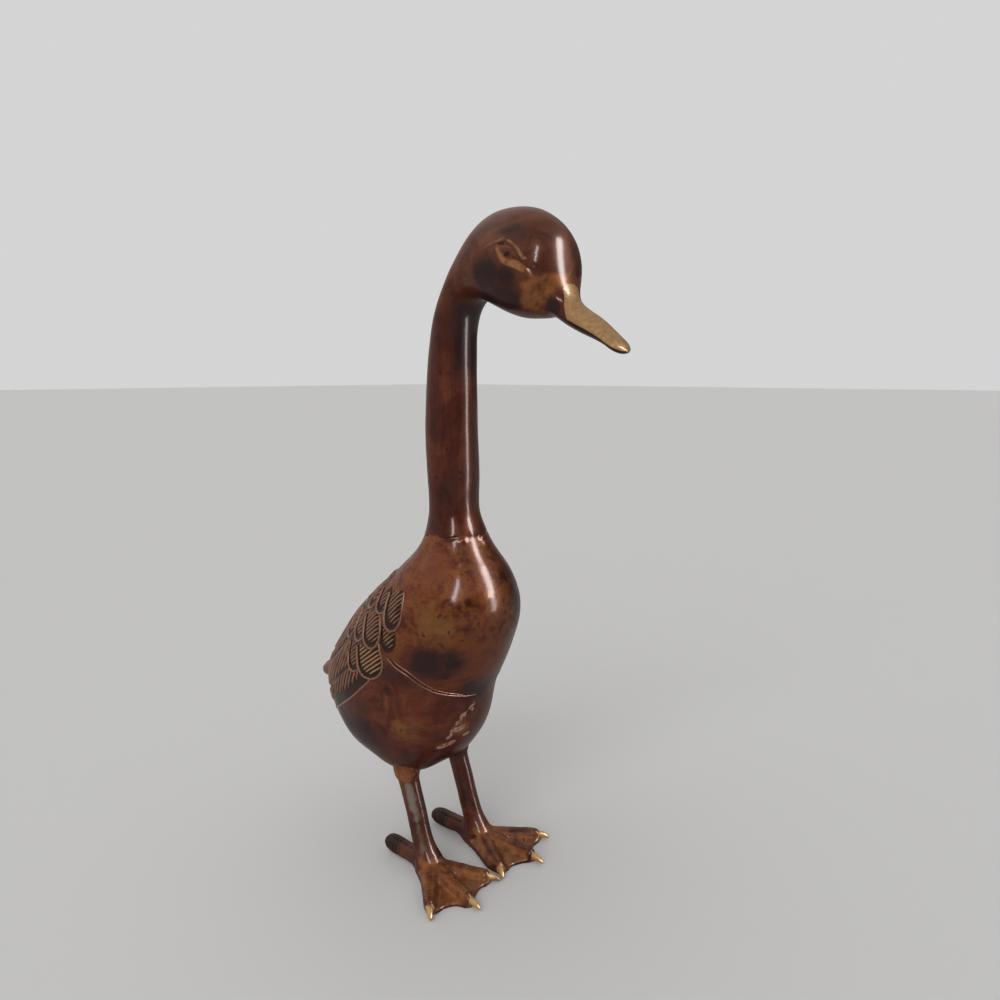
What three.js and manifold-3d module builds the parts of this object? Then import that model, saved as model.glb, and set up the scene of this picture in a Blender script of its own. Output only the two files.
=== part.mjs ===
// Standing duck figurine in cast brass, 360 mm tall, in millimetres.
// X points forwards, Y to the bird's left and Z up, and the feet stand on Z = 0.
// Body, neck, head, bill, tail, legs and feet are one piece of metal.
import * as THREE from "three";
import { mergeVertices } from "three/addons/utils/BufferGeometryUtils.js";
import Module from "manifold-3d";

const wasm = await Module();
wasm.setup();

// Cross-sections from under the belly up the neck and out to the tip of the bill.
// Each row: front x, front z, back x, back z, half width, and how much it narrows towards the back.
const SECTIONS = [
  [-24, 55, -24, 55, 0, 0], // underside
  [-14, 55.4, -35, 55.6, 10, 0.1],
  [1.5, 59, -54, 60, 23, 0.2],
  [11, 66, -72, 67.5, 32.5, 0.32],
  [19, 77, -86, 78, 39, 0.45],
  [24, 90, -95, 91, 42, 0.52], // rump
  [27, 104, -92.5, 105, 43.5, 0.46],
  [33.5, 118, -80.5, 121, 43.5, 0.38],
  [40.5, 133, -65.5, 137, 43, 0.28],
  [45.5, 149, -47.5, 153, 40.5, 0.18], // breast
  [44.5, 165, -28.5, 168, 35, 0.08],
  [36.5, 180, -13.5, 181, 27, 0],
  [28.5, 191, -5, 190.5, 20, 0],
  [24.5, 202, -3, 199, 15.8, 0], // foot of the neck
  [23.5, 222, -3, 222, 14.8, 0],
  [23, 246, -5, 246, 14.5, 0],
  [22.5, 271, -4, 273, 14, 0],
  [22.5, 294, -1, 298, 13.3, 0], // throat
  [25, 313.5, 8, 320.5, 14.4, 0],
  [32.5, 318, 25, 341, 18.5, 0],
  [43.5, 314, 41.5, 356.5, 22.3, 0],
  [56, 308.7, 56.2, 359.8, 23.6, 0], // crown
  [67, 307, 72, 356, 22.3, 0],
  [75, 307, 84, 342.5, 17.8, 0], // forehead
  [80, 306.8, 86.8, 327.5, 11.8, 0],
  [86, 303.5, 88.8, 317, 9.2, 0], // root of the bill
  [97.5, 298, 101.5, 307, 8.6, 0],
  [110, 292.3, 112.3, 298.2, 7.8, 0],
  [117, 289.5, 117.4, 293, 4.6, 0],
  [119, 290.5, 119, 290.5, 0, 0], // tip of the bill
];
const BODY_COLUMNS = 26; // facets round a section
const NECK_FOOT = 13; // the section at the foot of the neck
const THROAT = 17; // and the one where the head begins
// Distance between two sections as built, in the body, the neck and the head.
const BODY_STEP = 9.5;
const NECK_STEP = 13;
const HEAD_STEP = 6;

// The tail is a short flat wedge: x, z, half width and half height.
const TAIL = [
  [-72, 98, 20, 9],
  [-86, 94.2, 15.5, 7.5],
  [-97, 90.6, 11, 5.2],
  [-103, 88.6, 7, 3.2],
];
const TAIL_TIP = [-106, 87.6];

// Leg, as x, y, z and radius of its middle line, for the bird's left side.
const LEG = [
  [-12, 20, 68, 12],
  [-10.5, 20.1, 61, 11],
  [-9.5, 20.2, 56, 8.6],
  [-8.6, 20.2, 52, 6.6],
  [-7.6, 20.3, 48.5, 5.9],
  [-3.2, 20.3, 36, 5.8],
  [1.2, 20.4, 22.5, 5.8],
  [4.6, 20.5, 13.5, 6.4],
  [8, 20.6, 6, 8.5],
];
const HIND_TOE = [
  [4, 20.4, 5.5, 5.5],
  [-8, 19.9, 5, 5],
  [-18, 19.6, 4.9, 5.2],
  [-25, 19.4, 4.7, 4.8],
  [-28.6, 19.3, 4.5, 3.2],
];
const HIND_TOE_TIP = [-30, 19.3, 4.3];
const ROUND_SIDES = 12; // facets round a leg or hind toe

// Outline of the webbed foot on the ground, as x and y, from the heel round the outer toe.
const FOOT_OUTLINE = [
  [-7, 19.6], // heel
  [1.5, 26],
  [12, 32],
  [22, 39.3],
  [30, 45.6],
  [35.6, 47.4], // outer toe
  [37.2, 43.6],
  [37.4, 38.4],
  [40.5, 32.8],
  [45.4, 30.4],
  [47.6, 27.2], // middle toe
  [46, 23.2],
  [42.6, 18.6],
  [41, 13.4],
  [41.6, 8.4],
  [40.8, 4.1], // inner toe
  [37, 2.6],
  [29.5, 3.6],
  [22, 6.9],
  [12.5, 10.6],
  [1.5, 14],
];
const FOOT_CENTRE = [9, 20.6];
const FOOT_STEPS_ALONG = 2; // from one corner of the outline to the next
const FOOT_STEPS_OUT = 5;
const WEB_RIM = 1.9; // thickness of the web at its edge
const WEB_ROOT = 5.5; // and at the ankle
const WEB_REACH = 38;
// Toe ridges: where the round end is centred, then half width and height at root and end.
const TOE_HALF_WIDTH = [6.5, 3.8];
const TOE_HEIGHT = [9.6, 7];
const TOES = [
  { end: [33, 44.8], claw: [39.5, 50] },
  { end: [43.5, 26.5], claw: [53.2, 26.8] },
  { end: [37.5, 5.8], claw: [45, 1.2] },
];
const CLAW_RADIUS = 2.2;
const CLAW_TIP_HEIGHT = 1;
const CLAW_SIDES = 6;

// Engraved lines, drawn on the side view as x and z, and cut on both sides of the bird.
const SCALE_CUT = { width: 2.1, depth: 1.3, step: 4.8 };
const LONG_CUT = { width: 2.1, depth: 1.3, step: 8 };
const FINE_CUT = { width: 1.4, depth: 0.9, step: 3.8 };
// Scale feathers of the wing: x and z of the rounded tip, half width and length.
const SCALE_FEATHERS = [
  [3.5, 146.5, 7.2, 17],
  [-9, 134.8, 8.2, 17],
  [-9.5, 116.8, 10.8, 17.5],
  [-28, 116, 7.2, 15],
  [-8, 153.2, 5.2, 9],
  [-25, 134.6, 7, 14.5],
  [-40, 131, 6.6, 13],
];
const FEATHER_LEAN = THREE.MathUtils.degToRad(14);
// Long flight feathers run back to the tail below and behind the scales.
const FLIGHT_LINES = [
  [[-17, 112.5], [-32, 100.5], [-49, 89.5], [-66, 81.5], [-80, 78.5]],
  [[-31, 116], [-44, 107], [-60, 96.5], [-76, 88], [-86, 85]],
  [[-42, 124], [-54, 113], [-68, 103], [-80, 96]],
];
const BREAST_LINE = [
  [1.5, 133],
  [6, 128.6],
  [12, 124.6],
  [17.5, 118.5],
  [22.5, 112.6],
  [27.3, 107.4],
];
const EYE = [
  [60.5, 337.8],
  [63.6, 333.4],
  [68.5, 331.4],
  [73.4, 330.9],
  [72, 335.2],
  [68, 338.6],
];
const BROW = [
  [54, 338.4],
  [60, 340.6],
  [65.6, 341.6],
  [70.6, 338.8],
  [75.4, 332.6],
];
const MOUTH_LINE = [
  [90.5, 304.6],
  [98, 301],
  [106, 297],
  [112.5, 293.6],
  [116.6, 291],
];
const PUPIL = { centre: [67.4, 335.2], radius: 1.6, depth: 0.8 };

// A curve through the values at the knots with no sudden change of bend.
function smoothCurve(knots, values) {
  const last = knots.length - 1;
  const bend = new Array(last + 1).fill(0);
  const ratio = new Array(last + 1).fill(0);
  for (let i = 1; i < last; i++) {
    const before = knots[i] - knots[i - 1];
    const after = knots[i + 1] - knots[i];
    const change = (values[i + 1] - values[i]) / after - (values[i] - values[i - 1]) / before;
    const pivot = 2 * (before + after) - before * ratio[i - 1];
    ratio[i] = after / pivot;
    bend[i] = (6 * change - before * bend[i - 1]) / pivot;
  }
  for (let i = last - 1; i > 0; i--) {
    bend[i] -= ratio[i] * bend[i + 1];
  }
  return (t) => {
    let i = 0;
    while (i < last - 1 && t > knots[i + 1]) i++;
    const span = knots[i + 1] - knots[i];
    const b = (t - knots[i]) / span;
    const a = 1 - b;
    const curved = (a ** 3 - a) * bend[i] + (b ** 3 - b) * bend[i + 1];
    return a * values[i] + b * values[i + 1] + (curved * span * span) / 6;
  };
}

// Knots of the sections, spaced by how far their front and back points lie apart.
const KNOTS = [0];
for (let i = 1; i < SECTIONS.length; i++) {
  const [fx, fz, bx, bz] = SECTIONS[i];
  const [gx, gz, cx, cz] = SECTIONS[i - 1];
  const apart = (Math.hypot(fx - gx, fz - gz) + Math.hypot(bx - cx, bz - cz)) / 2;
  KNOTS.push(KNOTS[i - 1] + apart);
}
const columnOf = (k) => SECTIONS.map((row) => row[k]);
const sectionCurves = [0, 1, 2, 3, 4, 5].map((k) => smoothCurve(KNOTS, columnOf(k)));

// A point of the body's skin: t runs along the bird, and angle round it from the back, 0 to 2 pi.
function skin(t, angle) {
  const [frontX, frontZ, backX, backZ, halfWidth, narrowing] = sectionCurves.map((curve) => curve(t));
  const m = Math.max(narrowing, 0);
  const widest = (2 * ((1 + m) / (2 + m)) ** ((m + 1) / 2)) / Math.sqrt(2 + m);
  const along = (1 + Math.cos(angle)) / 2;
  const across = (Math.sin(angle) * Math.abs(Math.sin(angle / 2)) ** m) / widest;
  return new THREE.Vector3(
    THREE.MathUtils.lerp(frontX, backX, along),
    halfWidth * across,
    THREE.MathUtils.lerp(frontZ, backZ, along),
  );
}

// Points outwards.
function skinNormal(t, angle) {
  const small = 1e-3;
  const alongT = skin(t + small, angle).sub(skin(t - small, angle));
  const alongAngle = skin(t, angle + small).sub(skin(t, angle - small));
  return alongT.cross(alongAngle).normalize();
}

// The place on the bird's left side that the side view shows at x, z, between two stops.
function fromSideView(x, z, from, to) {
  let low = from;
  let high = to;
  const against = (t) => {
    const [frontX, frontZ, backX, backZ] = sectionCurves.map((curve) => curve(t));
    const line = new THREE.Vector2(backX - frontX, backZ - frontZ);
    const reach = new THREE.Vector2(x - frontX, z - frontZ);
    return { ahead: line.cross(reach) < 0, share: line.dot(reach) / line.lengthSq() };
  };
  for (let i = 0; i < 40; i++) {
    const middle = (low + high) / 2;
    if (against(middle).ahead) low = middle;
    else high = middle;
  }
  const t = (low + high) / 2;
  const share = THREE.MathUtils.clamp(against(t).share, 0.002, 0.998);
  return [t, Math.acos(2 * share - 1)];
}

// A closed surface through rings of points. It is closed to a point at both ends, or, without
// them, its last ring joins its first.
function loft(rings, start, end) {
  const sides = rings[0].length;
  const count = rings.length;
  const points = rings.flat();
  const index = [];
  for (let j = 0; j < sides; j++) {
    const next = (j + 1) % sides;
    for (let i = 0; i < (start ? count - 1 : count); i++) {
      const here = i * sides;
      const there = ((i + 1) % count) * sides;
      index.push(here + j, here + next, there + next, here + j, there + next, there + j);
    }
    if (start) {
      const top = (count - 1) * sides;
      index.push(points.length, next, j);
      index.push(points.length + 1, top + j, top + next);
    }
  }
  if (start) points.push(start, end);
  const geometry = new THREE.BufferGeometry().setFromPoints(points);
  geometry.setIndex(index);
  return geometry;
}

// A solid for joining and cutting. A geometry whose faces point inwards is turned round.
function solid(geometry) {
  geometry.deleteAttribute("normal");
  geometry.deleteAttribute("uv");
  const merged = mergeVertices(geometry, 1e-4);
  const vertProperties = merged.attributes.position.array;
  const triVerts = new Uint32Array(merged.index.array);
  const corner = (i) => new THREE.Vector3().fromArray(vertProperties, 3 * triVerts[i]);
  let volume = 0;
  for (let i = 0; i < triVerts.length; i += 3) {
    volume += corner(i).dot(corner(i + 1).cross(corner(i + 2)));
  }
  for (let i = 0; volume < 0 && i < triVerts.length; i += 3) {
    [triVerts[i], triVerts[i + 1]] = [triVerts[i + 1], triVerts[i]];
  }
  return new wasm.Manifold(new wasm.Mesh({ numProp: 3, vertProperties, triVerts }));
}

function mainForm() {
  const stops = [];
  for (let i = 0; i < KNOTS.length - 1; i++) {
    const step = i < NECK_FOOT ? BODY_STEP : i < THROAT ? NECK_STEP : HEAD_STEP;
    const steps = Math.max(1, Math.round((KNOTS[i + 1] - KNOTS[i]) / step));
    for (let k = 0; k < steps; k++) {
      stops.push(THREE.MathUtils.lerp(KNOTS[i], KNOTS[i + 1], k / steps));
    }
  }
  stops.shift();
  const rings = stops.map((t) => {
    const ring = [];
    for (let j = 0; j < BODY_COLUMNS; j++) {
      ring.push(skin(t, (2 * Math.PI * j) / BODY_COLUMNS));
    }
    return ring;
  });
  return solid(loft(rings, skin(0, 0), skin(KNOTS.at(-1), 0)));
}

function tail() {
  const rings = TAIL.map(([x, z, halfWidth, halfHeight]) => {
    const ring = [];
    for (let j = 0; j < ROUND_SIDES; j++) {
      const angle = (2 * Math.PI * j) / ROUND_SIDES;
      const y = halfWidth * Math.cos(angle);
      ring.push(new THREE.Vector3(x, y, z + halfHeight * Math.sin(angle)));
    }
    return ring;
  });
  const [startX, startZ] = TAIL[0];
  const [endX, endZ] = TAIL_TIP;
  return solid(loft(rings, new THREE.Vector3(startX + 2, 0, startZ), new THREE.Vector3(endX, 0, endZ)));
}

// A round bar through rows of x, y, z and radius, on the left (1) or right (-1) side.
function bar(rows, end, side, sides) {
  const centres = rows.map(([x, y, z]) => new THREE.Vector3(x, side * y, z));
  const tip = new THREE.Vector3(end[0], side * end[1], end[2]);
  const across = new THREE.Vector3(0, 1, 0);
  const rings = rows.map((row, i) => {
    const before = centres[Math.max(i - 1, 0)];
    const after = centres[i + 1] ?? tip;
    const along = after.clone().sub(before).normalize();
    const up = across.clone().cross(along).normalize();
    const beside = along.clone().cross(up);
    const ring = [];
    for (let j = 0; j < sides; j++) {
      const angle = (2 * Math.PI * j) / sides;
      ring.push(
        centres[i]
          .clone()
          .addScaledVector(up, row[3] * Math.cos(angle))
          .addScaledVector(beside, row[3] * Math.sin(angle)),
      );
    }
    return ring;
  });
  return solid(loft(rings, centres[0], tip));
}

// Height of the foot's upper side over the ground point x, y.
function footHeight(x, y) {
  const centre = new THREE.Vector2(...FOOT_CENTRE);
  const from = new THREE.Vector2(x, y).sub(centre);
  const away = Math.min(from.length() / WEB_REACH, 1);
  let height = THREE.MathUtils.lerp(WEB_ROOT, WEB_RIM, away ** 0.8);
  for (const { end } of TOES) {
    const toe = new THREE.Vector2(...end).sub(centre);
    const along = THREE.MathUtils.clamp(from.dot(toe) / toe.lengthSq(), 0, 1);
    const aside = from.distanceTo(toe.clone().multiplyScalar(along));
    const reach = THREE.MathUtils.lerp(...TOE_HALF_WIDTH, along);
    const top = THREE.MathUtils.lerp(...TOE_HEIGHT, along);
    const swell = Math.sqrt(Math.max(0, 1 - (aside / reach) ** 2));
    height = Math.max(height, WEB_RIM + (top - WEB_RIM) * swell);
  }
  return height;
}

function webbedFoot(side) {
  const corners = FOOT_OUTLINE.map(([x, y]) => new THREE.Vector3(x, y, 0));
  const steps = FOOT_STEPS_ALONG * corners.length;
  const outline = new THREE.CatmullRomCurve3(corners, true).getPoints(steps).slice(0, -1);
  const centre = new THREE.Vector3(...FOOT_CENTRE, 0);
  const rings = [];
  for (let k = 1; k <= FOOT_STEPS_OUT; k++) {
    rings.push(
      outline.map((p) => {
        const q = centre.clone().lerp(p, k / FOOT_STEPS_OUT);
        return new THREE.Vector3(q.x, side * q.y, footHeight(q.x, q.y));
      }),
    );
  }
  rings.push(outline.map((p) => new THREE.Vector3(p.x, side * p.y, 0)));
  const top = new THREE.Vector3(centre.x, side * centre.y, footHeight(centre.x, centre.y));
  const under = new THREE.Vector3(centre.x, side * centre.y, 0);
  return solid(loft(rings, top, under));
}

function claw({ end, claw: point }, side) {
  const root = new THREE.Vector2(...end);
  const tip = new THREE.Vector2(...point);
  const rows = [
    [0, CLAW_RADIUS + 1, CLAW_RADIUS],
    [0.45, CLAW_RADIUS + 1, CLAW_RADIUS],
    [0.75, CLAW_RADIUS + 0.2, CLAW_RADIUS * 0.75],
  ].map(([share, height, radius]) => {
    const middle = root.clone().lerp(tip, share);
    return [middle.x, middle.y, height, radius];
  });
  return bar(rows, [tip.x, tip.y, CLAW_TIP_HEIGHT], side, CLAW_SIDES);
}

// A cutter with a V section that follows places on the skin, each with its normal.
function lineCutter(places, width, depth, closed) {
  const proud = 0.5;
  const half = (width / 2) * (1 + proud / depth);
  const last = places.length - 1;
  const rings = places.map(({ point, normal }, i) => {
    const before = places[i > 0 ? i - 1 : closed ? last : 0].point;
    const after = places[i < last ? i + 1 : closed ? 0 : last].point;
    const aside = after.clone().sub(before).cross(normal).normalize();
    const top = point.clone().addScaledVector(normal, proud);
    return [
      top.clone().addScaledVector(aside, half),
      top.clone().addScaledVector(aside, -half),
      point.clone().addScaledVector(normal, -depth),
    ];
  });
  if (closed) return solid(loft(rings));
  const middle = (ring) => ring[0].clone().add(ring[1]).add(ring[2]).divideScalar(3);
  return solid(loft(rings, middle(rings[0]), middle(rings[last])));
}

// Where the body and the head each lie along the bird.
const BODY_SPAN = [KNOTS[1], KNOTS[NECK_FOOT]];
const HEAD_SPAN = [KNOTS[THROAT], KNOTS.at(-2)];

function placeAt(x, z, side, span) {
  const [t, angle] = fromSideView(x, z, ...span);
  const turned = side > 0 ? angle : 2 * Math.PI - angle;
  return { point: skin(t, turned), normal: skinNormal(t, turned) };
}

function sideLine(points, side, span, { width, depth, step }, closed = false) {
  const corners = points.map(([x, z]) => new THREE.Vector3(x, 0, z));
  const curve = new THREE.CatmullRomCurve3(corners, closed);
  const count = Math.max(4, Math.round(curve.getLength() / step));
  const stops = curve.getSpacedPoints(count);
  if (closed) stops.pop();
  const places = stops.map((p) => placeAt(p.x, p.z, side, span));
  return lineCutter(places, width, depth, closed);
}

// The U-shaped rim of a scale feather, from its root round the tip and back.
function featherRim([tipX, tipZ, halfWidth, length]) {
  const shape = [
    [-1, 1],
    [-1.03, 0.55],
    [-0.72, 0.16],
    [0, 0],
    [0.72, 0.16],
    [1.03, 0.55],
    [1, 1],
  ];
  const cos = Math.cos(FEATHER_LEAN);
  const sin = Math.sin(FEATHER_LEAN);
  return shape.map(([across, up]) => [
    tipX + across * halfWidth * cos - up * length * sin,
    tipZ + across * halfWidth * sin + up * length * cos,
  ]);
}

function engravings(side) {
  const cutters = [];
  for (const feather of SCALE_FEATHERS) {
    cutters.push(sideLine(featherRim(feather), side, BODY_SPAN, SCALE_CUT));
  }
  for (const line of [...FLIGHT_LINES, BREAST_LINE]) {
    cutters.push(sideLine(line, side, BODY_SPAN, LONG_CUT));
  }
  cutters.push(sideLine(EYE, side, HEAD_SPAN, FINE_CUT, true));
  for (const line of [BROW, MOUTH_LINE]) {
    cutters.push(sideLine(line, side, HEAD_SPAN, FINE_CUT));
  }
  return cutters;
}

function pupilCutter(side) {
  const { point, normal } = placeAt(...PUPIL.centre, side, HEAD_SPAN);
  const height = 2 * PUPIL.depth;
  const geometry = new THREE.CylinderGeometry(PUPIL.radius, PUPIL.radius * 0.6, height, 8);
  const turn = new THREE.Quaternion().setFromUnitVectors(new THREE.Vector3(0, 1, 0), normal);
  geometry.applyQuaternion(turn);
  geometry.translate(point.x, point.y, point.z);
  return solid(geometry);
}

// Everything below the ground is cut away, so the soles are flat.
function ground() {
  const depth = 40;
  const geometry = new THREE.BoxGeometry(400, 400, depth);
  geometry.translate(0, 0, -depth / 2);
  return solid(geometry);
}

function figurine() {
  let form = mainForm().add(tail());
  for (const side of [1, -1]) {
    const [footX, footY] = LEG.at(-1);
    form = form.add(bar(LEG, [footX, footY, 2], side, ROUND_SIDES));
    form = form.add(bar(HIND_TOE, HIND_TOE_TIP, side, ROUND_SIDES));
    form = form.add(webbedFoot(side));
    for (const toe of TOES) form = form.add(claw(toe, side));
  }
  form = form.subtract(ground());
  for (const side of [1, -1]) {
    for (const cutter of engravings(side)) form = form.subtract(cutter);
    form = form.subtract(pupilCutter(side));
  }
  const { vertProperties, triVerts } = form.getMesh();
  const geometry = new THREE.BufferGeometry();
  geometry.setAttribute("position", new THREE.BufferAttribute(vertProperties, 3));
  geometry.setIndex(new THREE.BufferAttribute(triVerts, 1));
  geometry.computeVertexNormals();
  return geometry;
}

const patinatedBrass = new THREE.MeshStandardMaterial({
  color: 0x5b2f1d,
  roughness: 0.3,
  metalness: 0.75,
});

// The part's origin is under the middle of its length, between the tail and the bill.
const billTipX = SECTIONS.at(-1)[0];
const duck = new THREE.Mesh(figurine(), patinatedBrass);
duck.name = "duck_figurine";
duck.position.x = -(billTipX + TAIL_TIP[0]) / 2;

const part = new THREE.Group();
part.name = "standing_duck";
part.add(duck);

export default part;
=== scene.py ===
"""Standing duck figurine in cast brass: mesh, materials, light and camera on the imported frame."""

import math
from functools import partial

import bmesh
import bpy
import numpy as np
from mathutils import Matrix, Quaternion, Vector, noise


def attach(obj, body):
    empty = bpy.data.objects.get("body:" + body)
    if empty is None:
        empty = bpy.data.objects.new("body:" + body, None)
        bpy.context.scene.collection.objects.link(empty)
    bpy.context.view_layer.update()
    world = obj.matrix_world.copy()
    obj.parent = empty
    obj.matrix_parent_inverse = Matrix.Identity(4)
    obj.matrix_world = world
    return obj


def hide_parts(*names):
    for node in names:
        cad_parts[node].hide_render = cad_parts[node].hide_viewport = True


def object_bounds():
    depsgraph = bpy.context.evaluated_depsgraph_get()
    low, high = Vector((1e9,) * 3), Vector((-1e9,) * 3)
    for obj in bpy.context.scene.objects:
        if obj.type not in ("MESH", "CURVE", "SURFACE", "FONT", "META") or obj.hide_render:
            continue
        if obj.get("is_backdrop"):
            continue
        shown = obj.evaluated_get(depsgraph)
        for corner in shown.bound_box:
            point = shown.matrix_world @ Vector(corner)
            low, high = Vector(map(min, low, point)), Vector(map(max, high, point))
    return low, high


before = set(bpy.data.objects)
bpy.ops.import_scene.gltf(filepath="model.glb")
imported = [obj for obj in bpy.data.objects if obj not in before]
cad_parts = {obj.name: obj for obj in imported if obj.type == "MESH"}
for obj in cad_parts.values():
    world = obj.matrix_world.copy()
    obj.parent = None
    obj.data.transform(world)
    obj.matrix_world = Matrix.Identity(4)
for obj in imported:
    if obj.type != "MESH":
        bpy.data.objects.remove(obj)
cad_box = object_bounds()

NODE = "duck_figurine"
MM = 0.001
SHIFT_X = -6.5  # from the bird's own frame, in which all shapes are given, to the part's


def linked(name, data):
    """A new object for the data, linked to the scene."""
    made = bpy.data.objects.new(name, data)
    bpy.context.scene.collection.objects.link(made)
    return made


# ---- camera, where the photograph was taken from ----
CAMERA_PLACE = (0.3065, -0.309, 0.281)
CAMERA_PITCH = 9.0
CAMERA_AZIMUTH = 41.1
camera = linked("camera", bpy.data.cameras.new("camera"))
camera.data.sensor_width = 36.0
camera.data.lens = 28.8  # 800 pixels of a photograph 1000 wide
camera.location = CAMERA_PLACE
camera.rotation_euler = (math.radians(90 - CAMERA_PITCH), 0, math.radians(CAMERA_AZIMUTH))
camera.data.clip_start = 0.01
camera.data.clip_end = 50
bpy.context.scene.camera = camera

# ---- main form, from the same named sections as the solid ----
# front x, front z, back x, back z, half width, narrowing towards the back
SECTIONS = np.array([
    (-24, 55, -24, 55, 0, 0),  # underside
    (-14, 55.4, -35, 55.6, 10, 0.1),
    (1.5, 59, -54, 60, 23, 0.2),
    (11, 66, -72, 67.5, 32.5, 0.32),
    (19, 77, -86, 78, 39, 0.45),
    (24, 90, -95, 91, 42, 0.52),  # rump
    (27, 104, -92.5, 105, 43.5, 0.46),
    (33.5, 118, -80.5, 121, 43.5, 0.38),
    (40.5, 133, -65.5, 137, 43, 0.28),
    (45.5, 149, -47.5, 153, 40.5, 0.18),  # breast
    (44.5, 165, -28.5, 168, 35, 0.08),
    (36.5, 180, -13.5, 181, 27, 0),
    (28.5, 191, -5, 190.5, 20, 0),
    (24.5, 202, -3, 199, 15.8, 0),  # foot of the neck
    (23.5, 222, -3, 222, 14.8, 0),
    (23, 246, -5, 246, 14.5, 0),
    (22.5, 271, -4, 273, 14, 0),
    (22.5, 294, -1, 298, 13.3, 0),  # throat
    (25, 313.5, 8, 320.5, 14.4, 0),
    (32.5, 318, 25, 341, 18.5, 0),
    (43.5, 314, 41.5, 356.5, 22.3, 0),
    (56, 308.7, 56.2, 359.8, 23.6, 0),  # crown
    (67, 307, 72, 356, 22.3, 0),
    (75, 307, 84, 342.5, 17.8, 0),  # forehead
    (80, 306.8, 86.8, 327.5, 11.8, 0),
    (86, 303.5, 88.8, 317, 9.2, 0),  # root of the bill
    (97.5, 298, 101.5, 307, 8.6, 0),
    (110, 292.3, 112.3, 298.2, 7.8, 0),
    (117, 289.5, 117.4, 293, 4.6, 0),
    (119, 290.5, 119, 290.5, 0, 0),  # tip of the bill
], float)
NECK_FOOT = 13
THROAT = 17
BILL_ROOT = 25


def norm(vectors):
    return np.linalg.norm(vectors, axis=-1)


def unit(vectors):
    return vectors / np.maximum(norm(vectors)[..., None], 1e-12)


def running(steps):
    """Sums of the steps so far, from 0."""
    return np.concatenate([[0], np.cumsum(steps)])


def smoothstep(low, high, value):
    share = np.clip((value - low) / (high - low), 0, 1)
    return share * share * (3 - 2 * share)


def bell(value, width):
    """1 where the value is 0, fading on both sides."""
    return np.exp(-((value / width) ** 2))


def axes(degrees):
    """The direction at an angle on a flat map, and the one square to it."""
    angle = math.radians(degrees)
    along = np.array([math.cos(angle), math.sin(angle)])
    return along, np.array([-along[1], along[0]])


def natural_spline(knots, values):
    """A smooth curve through the values at the knots, straight at both ends."""
    count = len(knots)
    gap = np.diff(knots)
    slope = np.diff(values) / gap
    system = np.eye(count)
    wanted = np.zeros(count)
    for i in range(1, count - 1):
        system[i, i - 1 : i + 2] = gap[i - 1], 2 * (gap[i - 1] + gap[i]), gap[i]
        wanted[i] = 6 * (slope[i] - slope[i - 1])
    bend = np.linalg.solve(system, wanted)

    def curve(t):
        i = np.clip(np.searchsorted(knots, t) - 1, 0, count - 2)
        b = (t - knots[i]) / gap[i]
        a = 1 - b
        curved = (a**3 - a) * bend[i] + (b**3 - b) * bend[i + 1]
        return a * values[i] + b * values[i + 1] + curved * gap[i] ** 2 / 6

    return curve


def section_knots():
    front = np.hypot(*np.diff(SECTIONS[:, 0:2], axis=0).T)
    back = np.hypot(*np.diff(SECTIONS[:, 2:4], axis=0).T)
    return running((front + back) / 2)


KNOTS = section_knots()
CURVES = [natural_spline(KNOTS, SECTIONS[:, k]) for k in range(6)]


def skin(t, angle):
    """Points of the bird's skin: t runs along it, angle round it from the back."""
    front_x, front_z, back_x, back_z, half_width, narrowing = [curve(t) for curve in CURVES]
    m = np.maximum(narrowing, 0)
    widest = 2 * ((1 + m) / (2 + m)) ** ((m + 1) / 2) / np.sqrt(2 + m)
    along = (1 + np.cos(angle)) / 2
    across = np.sin(angle) * np.abs(np.sin(angle / 2)) ** m / widest
    x = front_x + (back_x - front_x) * along
    z = front_z + (back_z - front_z) * along
    return np.stack([x, half_width * across, z], -1)


def skin_normal(t, angle):
    """Points outwards."""
    small = 1e-3
    along_t = skin(t + small, angle) - skin(t - small, angle)
    along_angle = skin(t, angle + small) - skin(t, angle - small)
    return unit(np.cross(along_t, along_angle))


# ---- a flat map of the body's side ----
# p is the distance along a level ring, equal to x at x = MAP_START, and z is the height.
MAP_START = -10.0
MAP_T = np.arange(KNOTS[1], KNOTS[NECK_FOOT], 0.8)
MAP_ANGLE = np.linspace(0.0, math.pi, 241)


def side_map():
    t, angle = np.meshgrid(MAP_T, MAP_ANGLE, indexing="ij")
    points = skin(t, angle)
    steps = norm(np.diff(points, axis=1))
    arc = np.concatenate([np.zeros((len(MAP_T), 1)), np.cumsum(steps, axis=1)], axis=1)
    for row in range(len(MAP_T)):
        x = points[row, :, 0]
        start = np.clip(MAP_START, x[0], x[-1])
        arc[row] += start - np.interp(start, x, arc[row])
    return arc, points[:, :, 2]


MAP_P, MAP_Z = side_map()


def table_at(table, t, angle):
    """The table's value at t and angle, between its entries."""
    i = np.clip((t - MAP_T[0]) / (MAP_T[1] - MAP_T[0]), 0, len(MAP_T) - 1.001)
    j = np.clip(angle / MAP_ANGLE[1], 0, len(MAP_ANGLE) - 1.001)
    i0 = i.astype(int)
    j0 = j.astype(int)
    a = i - i0
    b = j - j0
    low = table[i0, j0] * (1 - b) + table[i0, j0 + 1] * b
    high = table[i0 + 1, j0] * (1 - b) + table[i0 + 1, j0 + 1] * b
    return low * (1 - a) + high * a


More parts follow.
